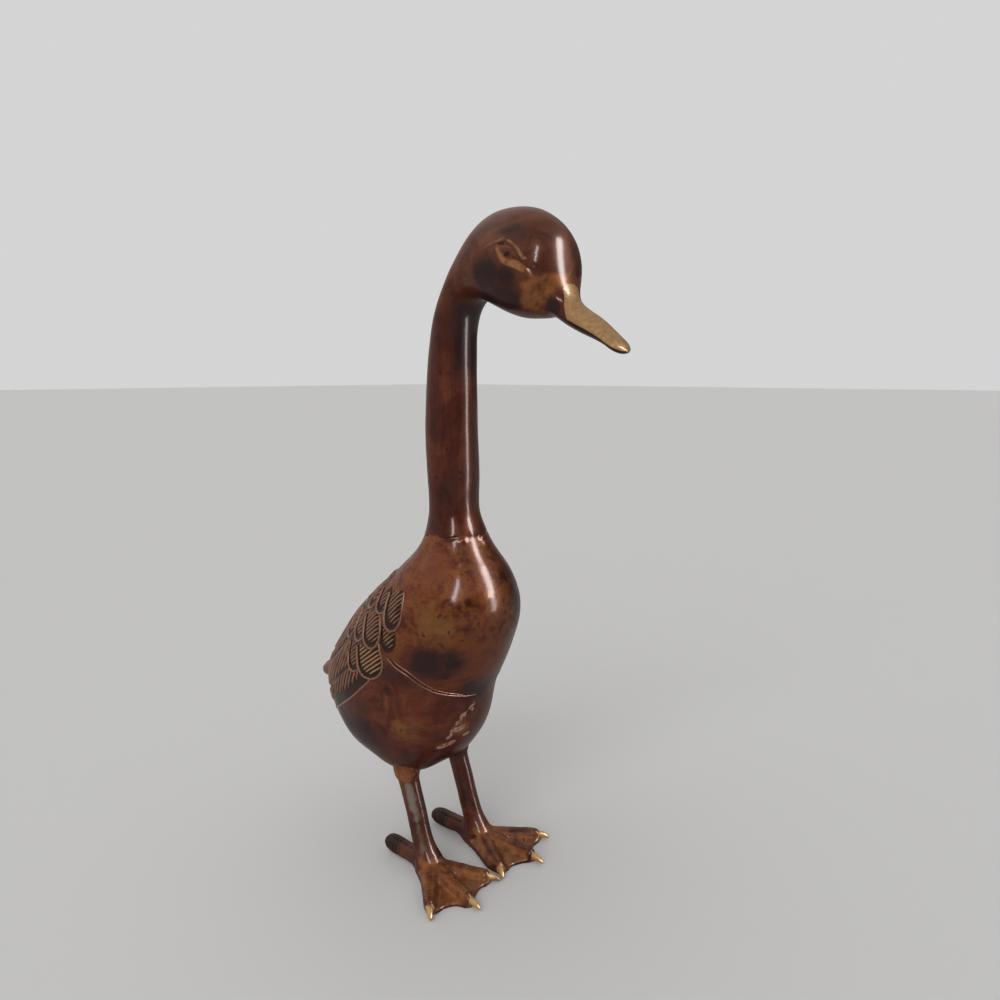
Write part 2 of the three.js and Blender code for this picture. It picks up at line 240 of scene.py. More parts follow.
def from_map(p, z):
    """t and angle of a place on the map of the left side."""
    p = np.asarray(p, float)
    z = np.asarray(z, float)
    t = np.interp(z, SECTIONS[1:, 1], KNOTS[1:])
    angle = np.full_like(t, 1.5)
    for _ in range(30):
        t = np.clip(t + (z - table_at(MAP_Z, t, angle)), MAP_T[0], MAP_T[-1])
        here = table_at(MAP_P, t, angle)
        ahead = table_at(MAP_P, t, angle + 0.01)
        slope = np.maximum((ahead - here) / 0.01, 3.0)
        angle = np.clip(angle + np.clip((p - here) / slope, -0.4, 0.4), 0, math.pi)
    return t, angle


def chord(t):
    """x and z of the front at t, and of the way from there to the back."""
    front_x, front_z, back_x, back_z = [float(curve(np.array(t))) for curve in CURVES[:4]]
    return front_x, front_z, back_x - front_x, back_z - front_z


def side_lookup(x, z, low, high):
    """t and angle of the place that the side view shows at x, z."""
    for _ in range(40):
        middle = (low + high) / 2
        front_x, front_z, over, up = chord(middle)
        ahead = over * (z - front_z) - up * (x - front_x) < 0
        low, high = (middle, high) if ahead else (low, middle)
    t = (low + high) / 2
    front_x, front_z, over, up = chord(t)
    share = (over * (x - front_x) + up * (z - front_z)) / (over**2 + up**2)
    return t, math.acos(2 * min(max(share, 0.0), 1.0) - 1)


def map_line(points):
    """A line drawn in the side view as x, z, as points of the map."""
    made = []
    for x, z in points:
        t, angle = side_lookup(x, z, KNOTS[1], KNOTS[NECK_FOOT])
        made.append((float(table_at(MAP_P, np.array([t]), np.array([angle]))[0]), z))
    return np.array(made)


def resample(line, step, least=3):
    """Points spaced evenly along a line, about a step apart."""
    length = running(norm(np.diff(line, axis=0)))
    stops = np.linspace(0, length[-1], max(least, int(round(length[-1] / step)) + 1))
    return np.stack([np.interp(stops, length, column) for column in line.T], -1)


def smooth_line(points, step):
    """Points spaced evenly on a Catmull-Rom curve through the given ones."""
    points = np.asarray(points, float)
    ends = np.vstack([2 * points[0] - points[1], points, 2 * points[-1] - points[-2]])
    made = []
    share = np.linspace(0, 1, 16, endpoint=False)[:, None]
    for a, b, c, d in zip(ends, ends[1:], ends[2:], ends[3:]):
        made.append(0.5 * (2 * b + (c - a) * share + (2 * a - 5 * b + 4 * c - d) * share**2
                           + (3 * b - a - 3 * c + d) * share**3))
    return resample(np.vstack([*made, points[-1:]]), step, 2)


def line_distance(points, line):
    """Distance of each point from a line, how far along it that is, and on which side (+1 left)."""
    best = np.full(len(points), 1e9)
    along = np.zeros(len(points))
    side = np.ones(len(points))
    done = 0.0
    for a, b in zip(line, line[1:]):
        step = b - a
        size = norm(step)
        share = np.clip((points - a) @ step / size**2, 0, 1)
        away = points - (a + share[:, None] * step)
        distance = norm(away)
        nearer = distance < best
        best = np.where(nearer, distance, best)
        along = np.where(nearer, done + share * size, along)
        turn = step[0] * (points[:, 1] - a[1]) - step[1] * (points[:, 0] - a[0])
        side = np.where(nearer, np.sign(turn), side)
        done += size
    return best, along, side


# ---- the wing's feathers, on the map ----
LOWER_EDGE = np.array([
    (-11.5, 117.6), (-14.6, 114.4), (-18.8, 110.8), (-23.3, 106.8), (-28.9, 102.3),
    (-37.2, 96.6), (-51.9, 87.8), (-68, 80.5), (-84, 77),
])
FIRST_SHAFT = np.array([
    (-33, 119.2), (-36.9, 116), (-43.3, 111.1), (-50.9, 105.3), (-62.4, 98.4), (-76, 91.5), (-90, 87),
])
SECOND_EDGE = np.array([(-46, 130), (-52, 124), (-60, 117.5), (-72, 109.5), (-86, 102.5), (-98, 98)])
INNER_SHAFT = np.array([(-60, 129), (-66, 124), (-76, 117), (-88, 110), (-98, 106)])
BACK_GAP = 5.0  # each wing ends this far from the middle of the back
WING_FRONT = map_line([
    (2, 172), (7, 168), (9.8, 160), (9.6, 152), (7, 147.5),
    (5.5, 141), (4, 134), (2, 128), (-2, 120.5), (-8, 117.6),
])

# p and z of the rounded tip, half width, length, lean in degrees, slope of the strokes, their step
# and how golden they are, from the lowest layer up
SCALES = [
    (-27, 117.3, 7.6, 16.5, 10, 38, 1.9, 0.12),
    (-10.2, 117.7, 10.9, 19, 18, 37, 2.05, 0.62),
    (-86, 134, 8, 17, 8, 40, 2.0, 0.1),
    (-71, 134, 8, 17, 8, 40, 2.0, 0.1),
    (-56, 133, 8, 17, 8, 40, 2.0, 0.1),
    (-41.5, 132, 7.6, 17, 10, 40, 2.0, 0.1),
    (-25.5, 134.6, 7.6, 17, 12, 38, 1.95, 0.1),
    (2.6, 134.5, 6.4, 15, 12, 42, 1.9, 0.2),
    (-10, 134.8, 8.4, 19, 22, 42, 1.9, 0.18),
    (-66, 150, 7.6, 16, 8, 40, 2.0, 0.05),
    (-52, 151, 7.6, 16, 8, 40, 2.0, 0.05),
    (-38, 152, 7.6, 16, 8, 40, 2.0, 0.05),
    (-23, 152.5, 7.4, 16, 9, 40, 1.95, 0.05),
    (-8.5, 153.2, 6.6, 13, 12, 42, 1.9, 0.08),
    (3.5, 146.6, 7.2, 20.5, 8, 47, 1.9, 0.15),
    (-46, 166, 6.5, 12, 5, 40, 2.0, 0.05),
    (-33, 167, 6.5, 12, 5, 40, 2.0, 0.05),
    (-20, 167.5, 6.5, 12, 6, 40, 2.0, 0.05),
]
NO_RIM = 7
RIM = 1.0
ROUND_END = 0.52  # share of a feather's length that its rounded tip takes


def inside_feather(points, feather):
    """How far each point is inside a feather's rounded outline, and how far up it is."""
    tip = np.array(feather[:2])
    half_width, length, lean = feather[2:5]
    across, up = axes(lean)
    a = (points - tip) @ across
    b = (points - tip) @ up
    round_end = ROUND_END * length
    low = (1 - np.hypot(a / half_width, (round_end - b) / round_end)) * min(half_width, round_end)
    inside = np.where(b < round_end, low, half_width - np.abs(a))
    return np.where(b > length, -9.0, inside), b


def back_middle(z):
    """p of the middle of the back at each height."""
    return np.interp(z, MAP_Z[:, 0], MAP_P[:, 0])


def wing_outline():
    """The wing's outline on the map, closed."""
    heights = np.linspace(82, 169, 24)
    inner = np.stack([back_middle(heights) + BACK_GAP, heights], -1)
    return np.vstack([WING_FRONT, smooth_line(LOWER_EDGE, 3)[1:], inner])


def polygon_depth(points, polygon):
    """Distance inside (+) or outside (-) a closed outline."""
    closed = np.vstack([polygon, polygon[:1]])
    distance = line_distance(points, closed)[0]
    within = np.zeros(len(points), bool)
    for a, b in zip(closed, closed[1:]):
        spans = (a[1] > points[:, 1]) != (b[1] > points[:, 1])
        with np.errstate(divide="ignore", invalid="ignore"):
            crossing = a[0] + (points[:, 1] - a[1]) * (b[0] - a[0]) / (b[1] - a[1])
        within ^= spans & (points[:, 0] < crossing)
    return np.where(within, distance, -distance)


WING = wing_outline()


def top_feather(points):
    """Which scale lies on top at each point (-1 none), how far inside it and how far up it."""
    top = np.full(len(points), -1)
    depth = np.full(len(points), -9.0)
    height = np.zeros(len(points))
    for k, feather in enumerate(SCALES):
        inside, b = inside_feather(points, feather)
        over = inside > -RIM / 2
        top = np.where(over, k, top)
        depth = np.where(over, inside, depth)
        height = np.where(over, b / feather[3], height)
    return top, depth, height


BREAST_LINE = map_line([
    (1.5, 133), (6, 128.6), (12, 124.6), (17.5, 118.5), (22.5, 112.6), (27.3, 107.4),
])
BREAST_LINE = np.vstack([BREAST_LINE, [(MAP_P[np.argmin(abs(MAP_Z[:, -1] - 106)), -1], 106.2)]])


def body_relief(p, z, side):
    """Height over the skin in mm, and how dark the patina is, at each point of the map."""
    points = np.stack([p, z], -1)
    wing = polygon_depth(points, WING)
    plateau = 0.5 * smoothstep(-6, -20, p)
    height = plateau * smoothstep(-0.6, 1.4, wing)
    dark = np.zeros(len(points))
    # flight feathers: each lies over the next like a shingle
    lines = (SECOND_EDGE, FIRST_SHAFT, INNER_SHAFT, LOWER_EDGE)
    second, shaft, inner, lower = [line_distance(points, smooth_line(line, 3))[0] for line in lines]
    flight = (wing > 0) & (p < -12)
    groove = bell(second, 0.9) + 0.7 * bell(np.minimum(shaft, inner), 0.8)
    band = smoothstep(6.5, 5.0, lower) * smoothstep(0.6, 1.6, lower)
    height += np.where(flight, -0.7 * groove - 0.35 * band, 0)
    dark = np.where(flight, np.clip(0.56 + 0.4 * band + 0.3 * groove, 0, 1), dark)
    top, inside, up = top_feather(points)
    on = (top >= 0) & (wing > -1.5)
    lip = smoothstep(-0.5, 0.6, inside)
    recess = smoothstep(0.4, 1.2, inside) * smoothstep(3.6, 2.0, inside)
    height = np.where(on, plateau + 0.5 * (1 - up) * lip - 0.85 * recess, height)
    edge = smoothstep(0.3, 0.9, inside) * smoothstep(4.2, 1.8, inside)
    dark = np.where(on, 0.3 + 0.26 * smoothstep(0.3, 0.9, inside) + 0.3 * edge, dark)
    # the double line across the breast
    line = bell(line_distance(points, smooth_line(BREAST_LINE, 2))[0], 0.8) * (wing < 0.5)
    line = line * np.where(side > 0, smoothstep(25, 18, p), 1)
    height -= 0.6 * line
    dark = np.maximum(dark, 0.8 * line)
    return height, dark


# ---- mesh gathering ----
MARKS = ("dark", "gold", "olive", "plum", "tan", "bare", "ash", "neck")


class Gather:
    """Points in mm, faces with a material number and marks for the colours, for one mesh."""

    def __init__(self):
        self.points = []
        self.faces = []
        self.kinds = []
        self.marks = {name: [] for name in MARKS}
        self.count = 0

    def add(self, points, faces, kind, turn=False, **marks):
        start = self.count
        self.points.append(points)
        self.faces += [tuple(start + i for i in (face[::-1] if turn else face)) for face in faces]
        self.kinds += [kind] * len(faces)
        for name in MARKS:
            self.marks[name].append(np.zeros(len(points)) + marks.get(name, 0))
        self.count += len(points)

    def mesh(self, name):
        points = np.vstack(self.points) + (SHIFT_X, 0, 0)
        made = bpy.data.meshes.new(name)
        made.from_pydata((points * MM).tolist(), [], self.faces)
        made.polygons.foreach_set("material_index", self.kinds)
        made.polygons.foreach_set("use_smooth", [True] * len(self.faces))
        for label in MARKS:
            layer = made.attributes.new(label, "FLOAT", "POINT")
            layer.data.foreach_set("value", np.concatenate(self.marks[label]).astype(np.float32))
        made.update()
        return made


PATINA, BRASS = 0, 1


def bands(count, n):
    """Faces between the rings of a tube, count rings of n points each."""
    faces = []
    for i in range(0, (count - 1) * n, n):
        faces += [(i + j, i + (j + 1) % n, i + n + (j + 1) % n, i + n + j) for j in range(n)]
    return faces


def tube(count, n, turned=False):
    """The same, closed by one point before the first ring and one past the last, listed after them."""
    faces, last, after = bands(count, n), (count - 1) * n, count * n
    faces += [(after, (j + 1) % n, j) for j in range(n)]
    faces += [(after + 1, last + j, last + (j + 1) % n) for j in range(n)]
    return [(face[0], *face[:0:-1]) for face in faces] if turned else faces


def zip_rings(first, second, angles_first, angles_second):
    """Faces between two closed rings of different counts, each sorted by angle."""
    faces = []
    i = j = 0
    n, m = len(first), len(second)
    turn = 2 * math.pi
    while i < n or j < m:
        next_i = angles_first[(i + 1) % n] + (turn if i + 1 >= n else 0)
        next_j = angles_second[(j + 1) % m] + (turn if j + 1 >= m else 0)
        if j >= m or (i < n and next_i <= next_j):
            faces.append((first[i % n], first[(i + 1) % n], second[j % m]))
            i += 1
        else:
            faces.append((first[i % n], second[(j + 1) % m], second[j % m]))
            j += 1
    return faces


def wave(x, y, z, scale, seed):
    return noise.noise(Vector((x * scale + seed, y * scale - seed, z * scale)))


def waves(points, *layers):
    """Uneven heights at the points, from layers of scale, seed and height."""
    return np.array([sum(wave(*q, scale, seed) * high for scale, seed, high in layers) for q in points])


def unevenness(points):
    return waves(points, (0.055, 3.1, 0.22), (0.14, 8.7, 0.07))


def column_angles(t, count, back_share):
    """Angles round a ring, closer together over the wings than on the breast."""
    fine = np.linspace(0, math.pi, 721)
    points = skin(np.full_like(fine, t), fine)
    middle = (fine[1:] + fine[:-1]) / 2
    total = running(norm(np.diff(points, axis=0)) * np.where(middle < 2.0, back_share, 1.0))
    half = np.interp(np.linspace(0, total[-1], count // 2 + 1), total, fine)
    return np.concatenate([half, 2 * math.pi - half[-2:0:-1]])


def thigh_pull(points):
    """How far the belly's underside is drawn down towards the legs."""
    away = np.hypot(points[:, 0] + 9.5, np.abs(points[:, 1]) - 20.2)
    return 3.8 * smoothstep(24, 4, away) * smoothstep(82, 64, points[:, 2])


def main_form(gather):
    """Body, neck, head and bill as one closed skin with its relief."""
    # start, end and step along the skin, columns round it, and how much closer they are over the wings
    zones = [
        (KNOTS[0] + 1.5, KNOTS[4] - 4, 1.9, 112, 1.0),
        (KNOTS[4] - 3, KNOTS[11] - 4, 1.15, 208, 1.9),
        (KNOTS[11] - 3, KNOTS[12] + 1, 1.0, 120, 1.0),
        (KNOTS[12] + 1.6, KNOTS[13] - 2, 0.5, 120, 1.0),
        (KNOTS[13] - 0.8, KNOTS[THROAT] + 4, 1.8, 72, 1.0),
        (KNOTS[THROAT] + 5.5, KNOTS[BILL_ROOT], 1.25, 112, 1.0),
        (KNOTS[BILL_ROOT] + 0.9, KNOTS[-1] - 0.25, 0.8, 56, 1.0),
    ]
    rings = []
    for start, end, step, columns, back_share in zones:
        for t in np.linspace(start, end, max(2, int(round((end - start) / step)) + 1)):
            rings.append((t, column_angles(t, columns, back_share)))
    t_all = np.concatenate([np.full(len(angles), t) for t, angles in rings])
    angle_all = np.concatenate([angles for _, angles in rings])
    points = skin(t_all, angle_all)
    normals = skin_normal(t_all, angle_all)
    side = np.where(angle_all > math.pi, -1, 1)
    folded = np.where(angle_all > math.pi, 2 * math.pi - angle_all, angle_all)
    height = np.zeros(len(points))
    dark = np.zeros(len(points))
    body = (t_all > MAP_T[0]) & (t_all < MAP_T[-1])
    p = table_at(MAP_P, t_all[body], folded[body])
    height[body], dark[body] = body_relief(p, points[body, 2], side[body])
    shade, gold = head_relief(points, t_all, normals)
    seam, seam_dark, neck = seam_relief(points)
    dark = np.maximum(np.maximum(dark, shade), seam_dark)
    height += seam
    height += unevenness(points) * np.where(t_all > KNOTS[BILL_ROOT] + 2, 0.3, 1.0)
    points = points + normals * height[:, None]
    points[:, 2] -= thigh_pull(points)
    faces = []
    starts = running([len(angles) for _, angles in rings])
    index = [range(int(start), int(end)) for start, end in zip(starts, starts[1:])]
    for low, high, (_, angles), (_, next_angles) in zip(index, index[1:], rings, rings[1:]):
        if len(low) == len(high):
            n = len(low)
            faces += [(low[j], low[(j + 1) % n], high[(j + 1) % n], high[j]) for j in range(n)]
        else:
            faces += zip_rings(low, high, angles, next_angles)
    bottom, tip = len(points), len(points) + 1
    points = np.vstack([points, skin(np.array([KNOTS[0], KNOTS[-1]]), np.zeros(2))])
    first, last = index[0], index[-1]
    faces += [(bottom, first[(j + 1) % len(first)], first[j]) for j in range(len(first))]
    faces += [(tip, last[j], last[(j + 1) % len(last)]) for j in range(len(last))]
    marks = patch_marks(points)
    marks["dark"] = np.append(dark, [0, 0])
    marks["gold"] = np.append(gold, [0, 1])
    marks["neck"] = np.append(neck, [0, 1])
    gather.add(points, faces, PATINA, turn=True, **marks)


# ---- marks of wear and colour on the skin, some of them painted shade and highlights ----
# kind, strength, middle and reach, each along x, y and z, and the side where it is on one side only
PATCHES = [
    ("olive", 0.9, (29, 32, 154), (11, 12, 15)),
    ("olive", 0.9, (8, 39, 90), (14, 12, 8)),
    ("olive", 1, (-60, 30, 70), (16, 14, 8)),
    ("plum", 0.9, (23, 31, 132), (15, 18, 10.5)),
    ("plum", 1, (-30, 41, 80), (22, 14, 15)),
    ("plum", 1, (26, 4, 112), (8, 12, 10)),
    ("plum", 1, (-50, 20, 160), (26, 26, 16)),
    ("plum", 1, (60, 20, 315), (12, 12, 9)),
    ("plum", 1, (84, 9, 311), (4, 8, 4.5)),
    ("plum", 1, (54, 22, 326), (10, 12, 10)),
    ("plum", 1, (48, 14, 313), (16, 14, 8)),
    ("plum", 0.5, (72, 20, 344), (12, 8, 7)),
    # painted shade on the head's front left side
    ("plum", 0.95, (76, 17, 333), (15, 10, 22), "left"),
    # painted shade on the front of the neck under the chin
    ("plum", 1, (24, 3, 300), (12, 13, 20)),
    # painted shade on the breast's left front, beside the highlight
    ("plum", 0.9, (37, 30, 165), (14, 14, 30), "left"),
    ("plum", 0.62, (44, 15, 166), (14, 10, 26), "left"),
    ("plum", 0.95, (65, 20, 324), (6.5, 12, 7)),
    ("plum", 0.6, (4, 38, 122), (16, 14, 8)),
    ("plum", 0.6, (-22, 38, 98), (10, 14, 7)),
    ("olive", 0.6, (-4, 38, 106), (8, 12, 6)),
    ("tan", 0.8, (22.3, -9, 87.5), (5, 6.5, 7.5), "right"),
    ("ash", 0.62, (-103, 0, 90), (14, 16, 14)),
    # painted highlight: a lighter collar where the right leg meets the belly
    ("tan", 1, (-10, -21, 60), (10, 10, 6), "right"),
    ("bare", 1, (42, 2, 146), (2.5, 5, 4)),
]

# scratches down to bare metal on the belly: both ends and half the width
SCRATCHES = [
    ((24, -8.8, 94.8), (24.3, -7.8, 95.8), 1.7), ((25.4, -2.2, 97.1), (25.4, -1.6, 97.6), 1.0),
    ((22.7, -11.4, 91), (23.3, -9.8, 91.6), 1.2), ((18.8, -14.5, 82.5), (21.4, -12.5, 87.8), 1.4),
    ((21.7, -11, 86.7), (22.6, -8, 87.4), 1.6), ((20.7, -5.2, 81.5), (21.3, -2.6, 82), 1.1),
    ((14.6, -17.4, 76.5), (17.9, -11.4, 78.3), 1.6), ((25.6, -4.6, 98.4), (26.1, -2.3, 100.6), 1.0),
]


def patch_marks(points):
    marks = {name: np.zeros(len(points)) for name in ("olive", "plum", "tan", "bare", "ash")}
    folded = np.column_stack([points[:, 0], np.abs(points[:, 1]), points[:, 2]])
    for kind, strength, middle, reach, *one_side in PATCHES:
        away = norm(((points if one_side else folded) - middle) / np.array(reach))
        marks[kind] = np.maximum(marks[kind], strength * smoothstep(1.6, 0.2, away))
    for start, end, half in SCRATCHES:
        start, way = np.array(start), np.subtract(end, start)
        share = np.clip((points - start) @ way / (way @ way), 0, 1)
        away = norm(points - start - share[:, None] * way)
        marks["bare"] = np.maximum(marks["bare"], smoothstep(1.9 * half, 0.5 * half, away))
    cheek = polygon_depth(folded[:, [0, 2]], np.array(CHEEK, float))
    marks["tan"] = np.where(points[:, 2] > 300, 0.85 * smoothstep(-3.5, 2.5, cheek), marks["tan"])
    return marks


# ---- materials ----
def fill(made, sockets):
    """Link each socket of a node that is named, or set its value."""
    for key, value in sockets.items():
        if isinstance(value, bpy.types.NodeSocket):
            made.id_data.links.new(value, made.inputs[key])
        else:
            made.inputs[key].default_value = value


def new_node(tree, kind, sockets, out=0, **settings):
    made = tree.nodes.new(kind)
    for key, value in settings.items():
        setattr(made, key, value)
    fill(made, sockets)
    return made.outputs[out]


def graph(name):
    material = bpy.data.materials.new(name)
    material.use_nodes = True
    tree = material.node_tree
    return material, tree.nodes["Principled BSDF"], partial(new_node, tree)


def speckle(node, place, scale, detail=3.0, roughness=0.55, distortion=0.0, stretch=(1, 1, 1)):
    sockets = {"Scale": scale, "Detail": detail, "Roughness": roughness, "Distortion": distortion}
    sockets["Vector"] = node("ShaderNodeVectorMath", {0: place, 1: stretch}, operation="MULTIPLY")
    return node("ShaderNodeTexNoise", sockets)


def rise(node, value, low, high, start=0.0, end=1.0):
    sockets = {"Value": value, "From Min": low, "From Max": high, "To Min": start, "To Max": end}
    return node("ShaderNodeMapRange", sockets, interpolation_type="SMOOTHSTEP")


def blend(node, share, first, second):
    sockets = {0: share, 6: (*first, 1) if isinstance(first, tuple) else first}
    sockets[7] = (*second, 1) if isinstance(second, tuple) else second
    return node("ShaderNodeMix", sockets, 2, data_type="RGBA")


def ramp(node, value, stops):
    made = node("ShaderNodeValToRGB", {0: value})
    band = made.node.color_ramp
    while len(band.elements) < len(stops):
        band.elements.new(0.5)
    for element, (place, colour) in zip(band.elements, stops):
        element.position = place
        element.color = (*colour, 1)
    return made


def maths(node, operation, first, second):
    return node("ShaderNodeMath", {0: first, 1: second}, operation=operation)


def times(node, first, second):
    return maths(node, "MULTIPLY", first, second)


def plus(node, first, second):
    return maths(node, "ADD", first, second)


def mixture(node, share, first, second):
    """A share of the first value and the rest of the second."""
    return plus(node, times(node, first, share), times(node, second, 1 - share))


def frayed(node, value, amount, grain):
    """The value, moved up and down by the grain."""
    return plus(node, value, times(node, maths(node, "SUBTRACT", grain, 0.5), amount))


def attribute(node, name):
    return node("ShaderNodeAttribute", {}, 2, attribute_name=name)


def mark(node, name, edge, grain, low=0.35, high=0.65):
    """A mark's share of the colour, with an uneven edge."""
    return rise(node, frayed(node, attribute(node, name), edge, grain), low, high)


RED_BROWN = [
    (0.33, (0.018, 0.005, 0.004)), (0.45, (0.062, 0.014, 0.008)),
    (0.55, (0.115, 0.027, 0.011)), (0.67, (0.175, 0.054, 0.017)),
]
NECK_BROWN = [(0.34, (0.020, 0.005, 0.004)), (0.5, (0.064, 0.014, 0.008)), (0.66, (0.130, 0.036, 0.016))]
HEAD_BROWN = [(0.34, (0.022, 0.006, 0.004)), (0.5, (0.086, 0.025, 0.012)), (0.68, (0.165, 0.058, 0.024))]
LEG_BROWN = [(0.34, (0.017, 0.005, 0.005)), (0.52, (0.072, 0.020, 0.013)), (0.68, (0.145, 0.046, 0.026))]
CHEEK_TAN = [(0.32, (0.085, 0.026, 0.010)), (0.48, (0.170, 0.056, 0.018)), (0.68, (0.230, 0.088, 0.028))]
WORN_GOLD = [(0.3, (0.24, 0.135, 0.065)), (0.5, (0.31, 0.170, 0.068)), (0.7, (0.34, 0.21, 0.105))]
ORANGE_BROWN = (0.160, 0.050, 0.013)
OLIVE = (0.160, 0.066, 0.020)
# dark purple-brown, for patina and for painted shade
PLUM_AND_SHADE = (0.023, 0.009, 0.009)
# grey: the tail's tip, and a painted reflection down the legs
ASH_AND_SHEEN = (0.150, 0.125, 0.098)
BARE_METAL = (0.36, 0.20, 0.14)
NEARLY_BLACK = (0.020, 0.007, 0.004)
COPPER = (0.20, 0.090, 0.057)
COPPER_SHADE = (0.06, 0.022, 0.014)
GOLD = (0.46, 0.27, 0.105)


def patina_material():
    """Brown lacquered patina, mottled, with golden metal where it is worn, and painted shade, painted
    highlights and a painted reflection where the marks ask for them.
    """
    material, shader, node = graph("patinated_brass")
    place = node("ShaderNodeTexCoord", {}, 3)
    height = node("ShaderNodeSeparateXYZ", {0: place}, 2)
    clouds = speckle(node, place, 44.0, 8.0, 0.66, 0.8)
    streaks = speckle(node, place, 80.0, 5.0, 0.7, 0.3, (1, 1, 3.5))
    runs_down = speckle(node, place, 150.0, 4.0, 0.6, 0.3, (1, 1, 0.12))
    spots = speckle(node, place, 210.0, 3.0, 0.6)
    crumbs = speckle(node, place, 520.0, 2.0, 0.6)
    mixed = mixture(node, 0.8, clouds, streaks)
    # heights are in metres from the ground
    warm = times(node, rise(node, height, 0.115, 0.155), rise(node, spots, 0.38, 0.62))
    body = blend(node, times(node, warm, 0.8), ramp(node, mixed, RED_BROWN), ORANGE_BROWN)
    # darker towards the bottom of the body
    body = blend(node, rise(node, height, 0.1, 0.068, 0.0, 0.42), body, PLUM_AND_SHADE)
    neck = ramp(node, mixture(node, 0.5, clouds, runs_down), NECK_BROWN)
    above = maths(node, "MAXIMUM", attribute(node, "neck"), rise(node, height, 0.205, 0.21))
    colour = blend(node, above, body, neck)
    border = frayed(node, height, 0.012, clouds)
    colour = blend(node, rise(node, border, 0.300, 0.330), colour, ramp(node, mixed, HEAD_BROWN))
    colour = blend(node, rise(node, border, 0.062, 0.050), colour, ramp(node, mixed, LEG_BROWN))
    gold = mark(node, "gold", 0.3, spots)
    bare = times(node, mark(node, "bare", 1.4, spots, 0.4, 0.8), rise(node, crumbs, 0.36, 0.5, 0.15, 1.0))
    for share, over in (
        (mark(node, "olive", 3.2, mixed, 0.2, 1.3), OLIVE),
        # dark purple-brown patches: patina, and painted shade where they darken the sides turned from the
        # light
        (mark(node, "plum", 3.0, mixed, 0.15, 0.85), PLUM_AND_SHADE),
        (mark(node, "tan", 1.6, clouds, 0.3, 0.8), ramp(node, spots, CHEEK_TAN)),
        # grey: the tail's tip, and a painted reflection down the legs
        (mark(node, "ash", 1.2, spots, 0.3, 0.9), ASH_AND_SHEEN),
        (bare, BARE_METAL),
        (rise(node, spots, 0.64, 0.72, 0.0, 0.75), NEARLY_BLACK),
        (mark(node, "dark", 0.35, spots), NEARLY_BLACK),
        (gold, ramp(node, crumbs, WORN_GOLD)),
    ):
        colour = blend(node, share, colour, over)
    rough = plus(node, rise(node, clouds, 0.35, 0.65, 0.3, 0.42), times(node, gold, 0.08))
    rough = plus(node, rough, rise(node, height, 0.07, 0.04, 0.0, 0.12))
    rough = plus(node, rough, rise(node, height, 0.28, 0.32, 0.0, 0.06))
    bumps = {"Strength": 0.22, "Distance": 0.0006, "Height": mixture(node, 0.7, spots, crumbs)}
    fill(shader, {
        "Base Color": colour,
        "Roughness": rough,
        "Normal": node("ShaderNodeBump", bumps),
        "Metallic": 0.14,
        "Specular IOR Level": 0.06,
        "Specular Tint": (1, 0.72, 0.58, 1),
        "Coat Weight": 0.11,
        "Coat IOR": 2.0,
        "Coat Roughness": 0.15,
    })
    return material


def ridge_material():
    """Bare metal on the raised lines, from copper brown to gold."""
    material, shader, node = graph("worn_brass")
    place = node("ShaderNodeTexCoord", {}, 3)
    clouds = speckle(node, place, 90.0, 4.0, 0.6, 0.4)
    crumbs = speckle(node, place, 600.0, 2.0, 0.6)
    colour = blend(node, attribute(node, "gold"), COPPER, GOLD)
    colour = blend(node, rise(node, clouds, 0.56, 0.72, 0.0, 0.75), colour, COPPER_SHADE)
    colour = blend(node, rise(node, crumbs, 0.6, 0.7, 0.0, 0.5), colour, NEARLY_BLACK)
    fill(shader, {
        "Base Color": colour,
        "Roughness": rise(node, clouds, 0.3, 0.7, 0.34, 0.5),
        "Normal": node("ShaderNodeBump", {"Strength": 0.3, "Distance": 0.0003, "Height": crumbs}),
        "Metallic": 0.55,
        "Coat Weight": 0.12,
        "Coat Roughness": 0.12,
    })
    return material


# ---- head ----
# lines in the side view, as x and z
PUPIL = np.array([67.5, 334.7])
EYE_MIDDLE = np.array([68.0, 335.3])
EYE_ALONG, EYE_ACROSS = axes(-33)
BROW = [(53.1, 338.4), (56.4, 339.2), (59.4, 340.1), (62.9, 341.1), (65.7, 341.6)]
UPPER_LID = [(67.4, 340.6), (69.6, 339.2), (72.1, 337), (73.8, 334.4), (75.4, 331.9)]
LOWER_LID = [
    (61.8, 337.6), (63.7, 334.3), (65.5, 332), (68.5, 330.7),
    (71.5, 329.8), (74.2, 328), (76.9, 326), (79.3, 323.6),
]
CORNER = np.array([80.2, 327.3])
EYE_GRID = ((-15, 17, 74), (-8, 7.5, 36))  # start, end and count of the points along and across
CHEEK = [
    (74.1, 322.5), (71, 315.7), (68, 311.2), (77.6, 308.6), (82.5, 315.4), (85.5, 317.6),
    (87.5, 319.5), (87.6, 325.5), (84.3, 326.8), (82, 325.4), (78.5, 323.5),
]


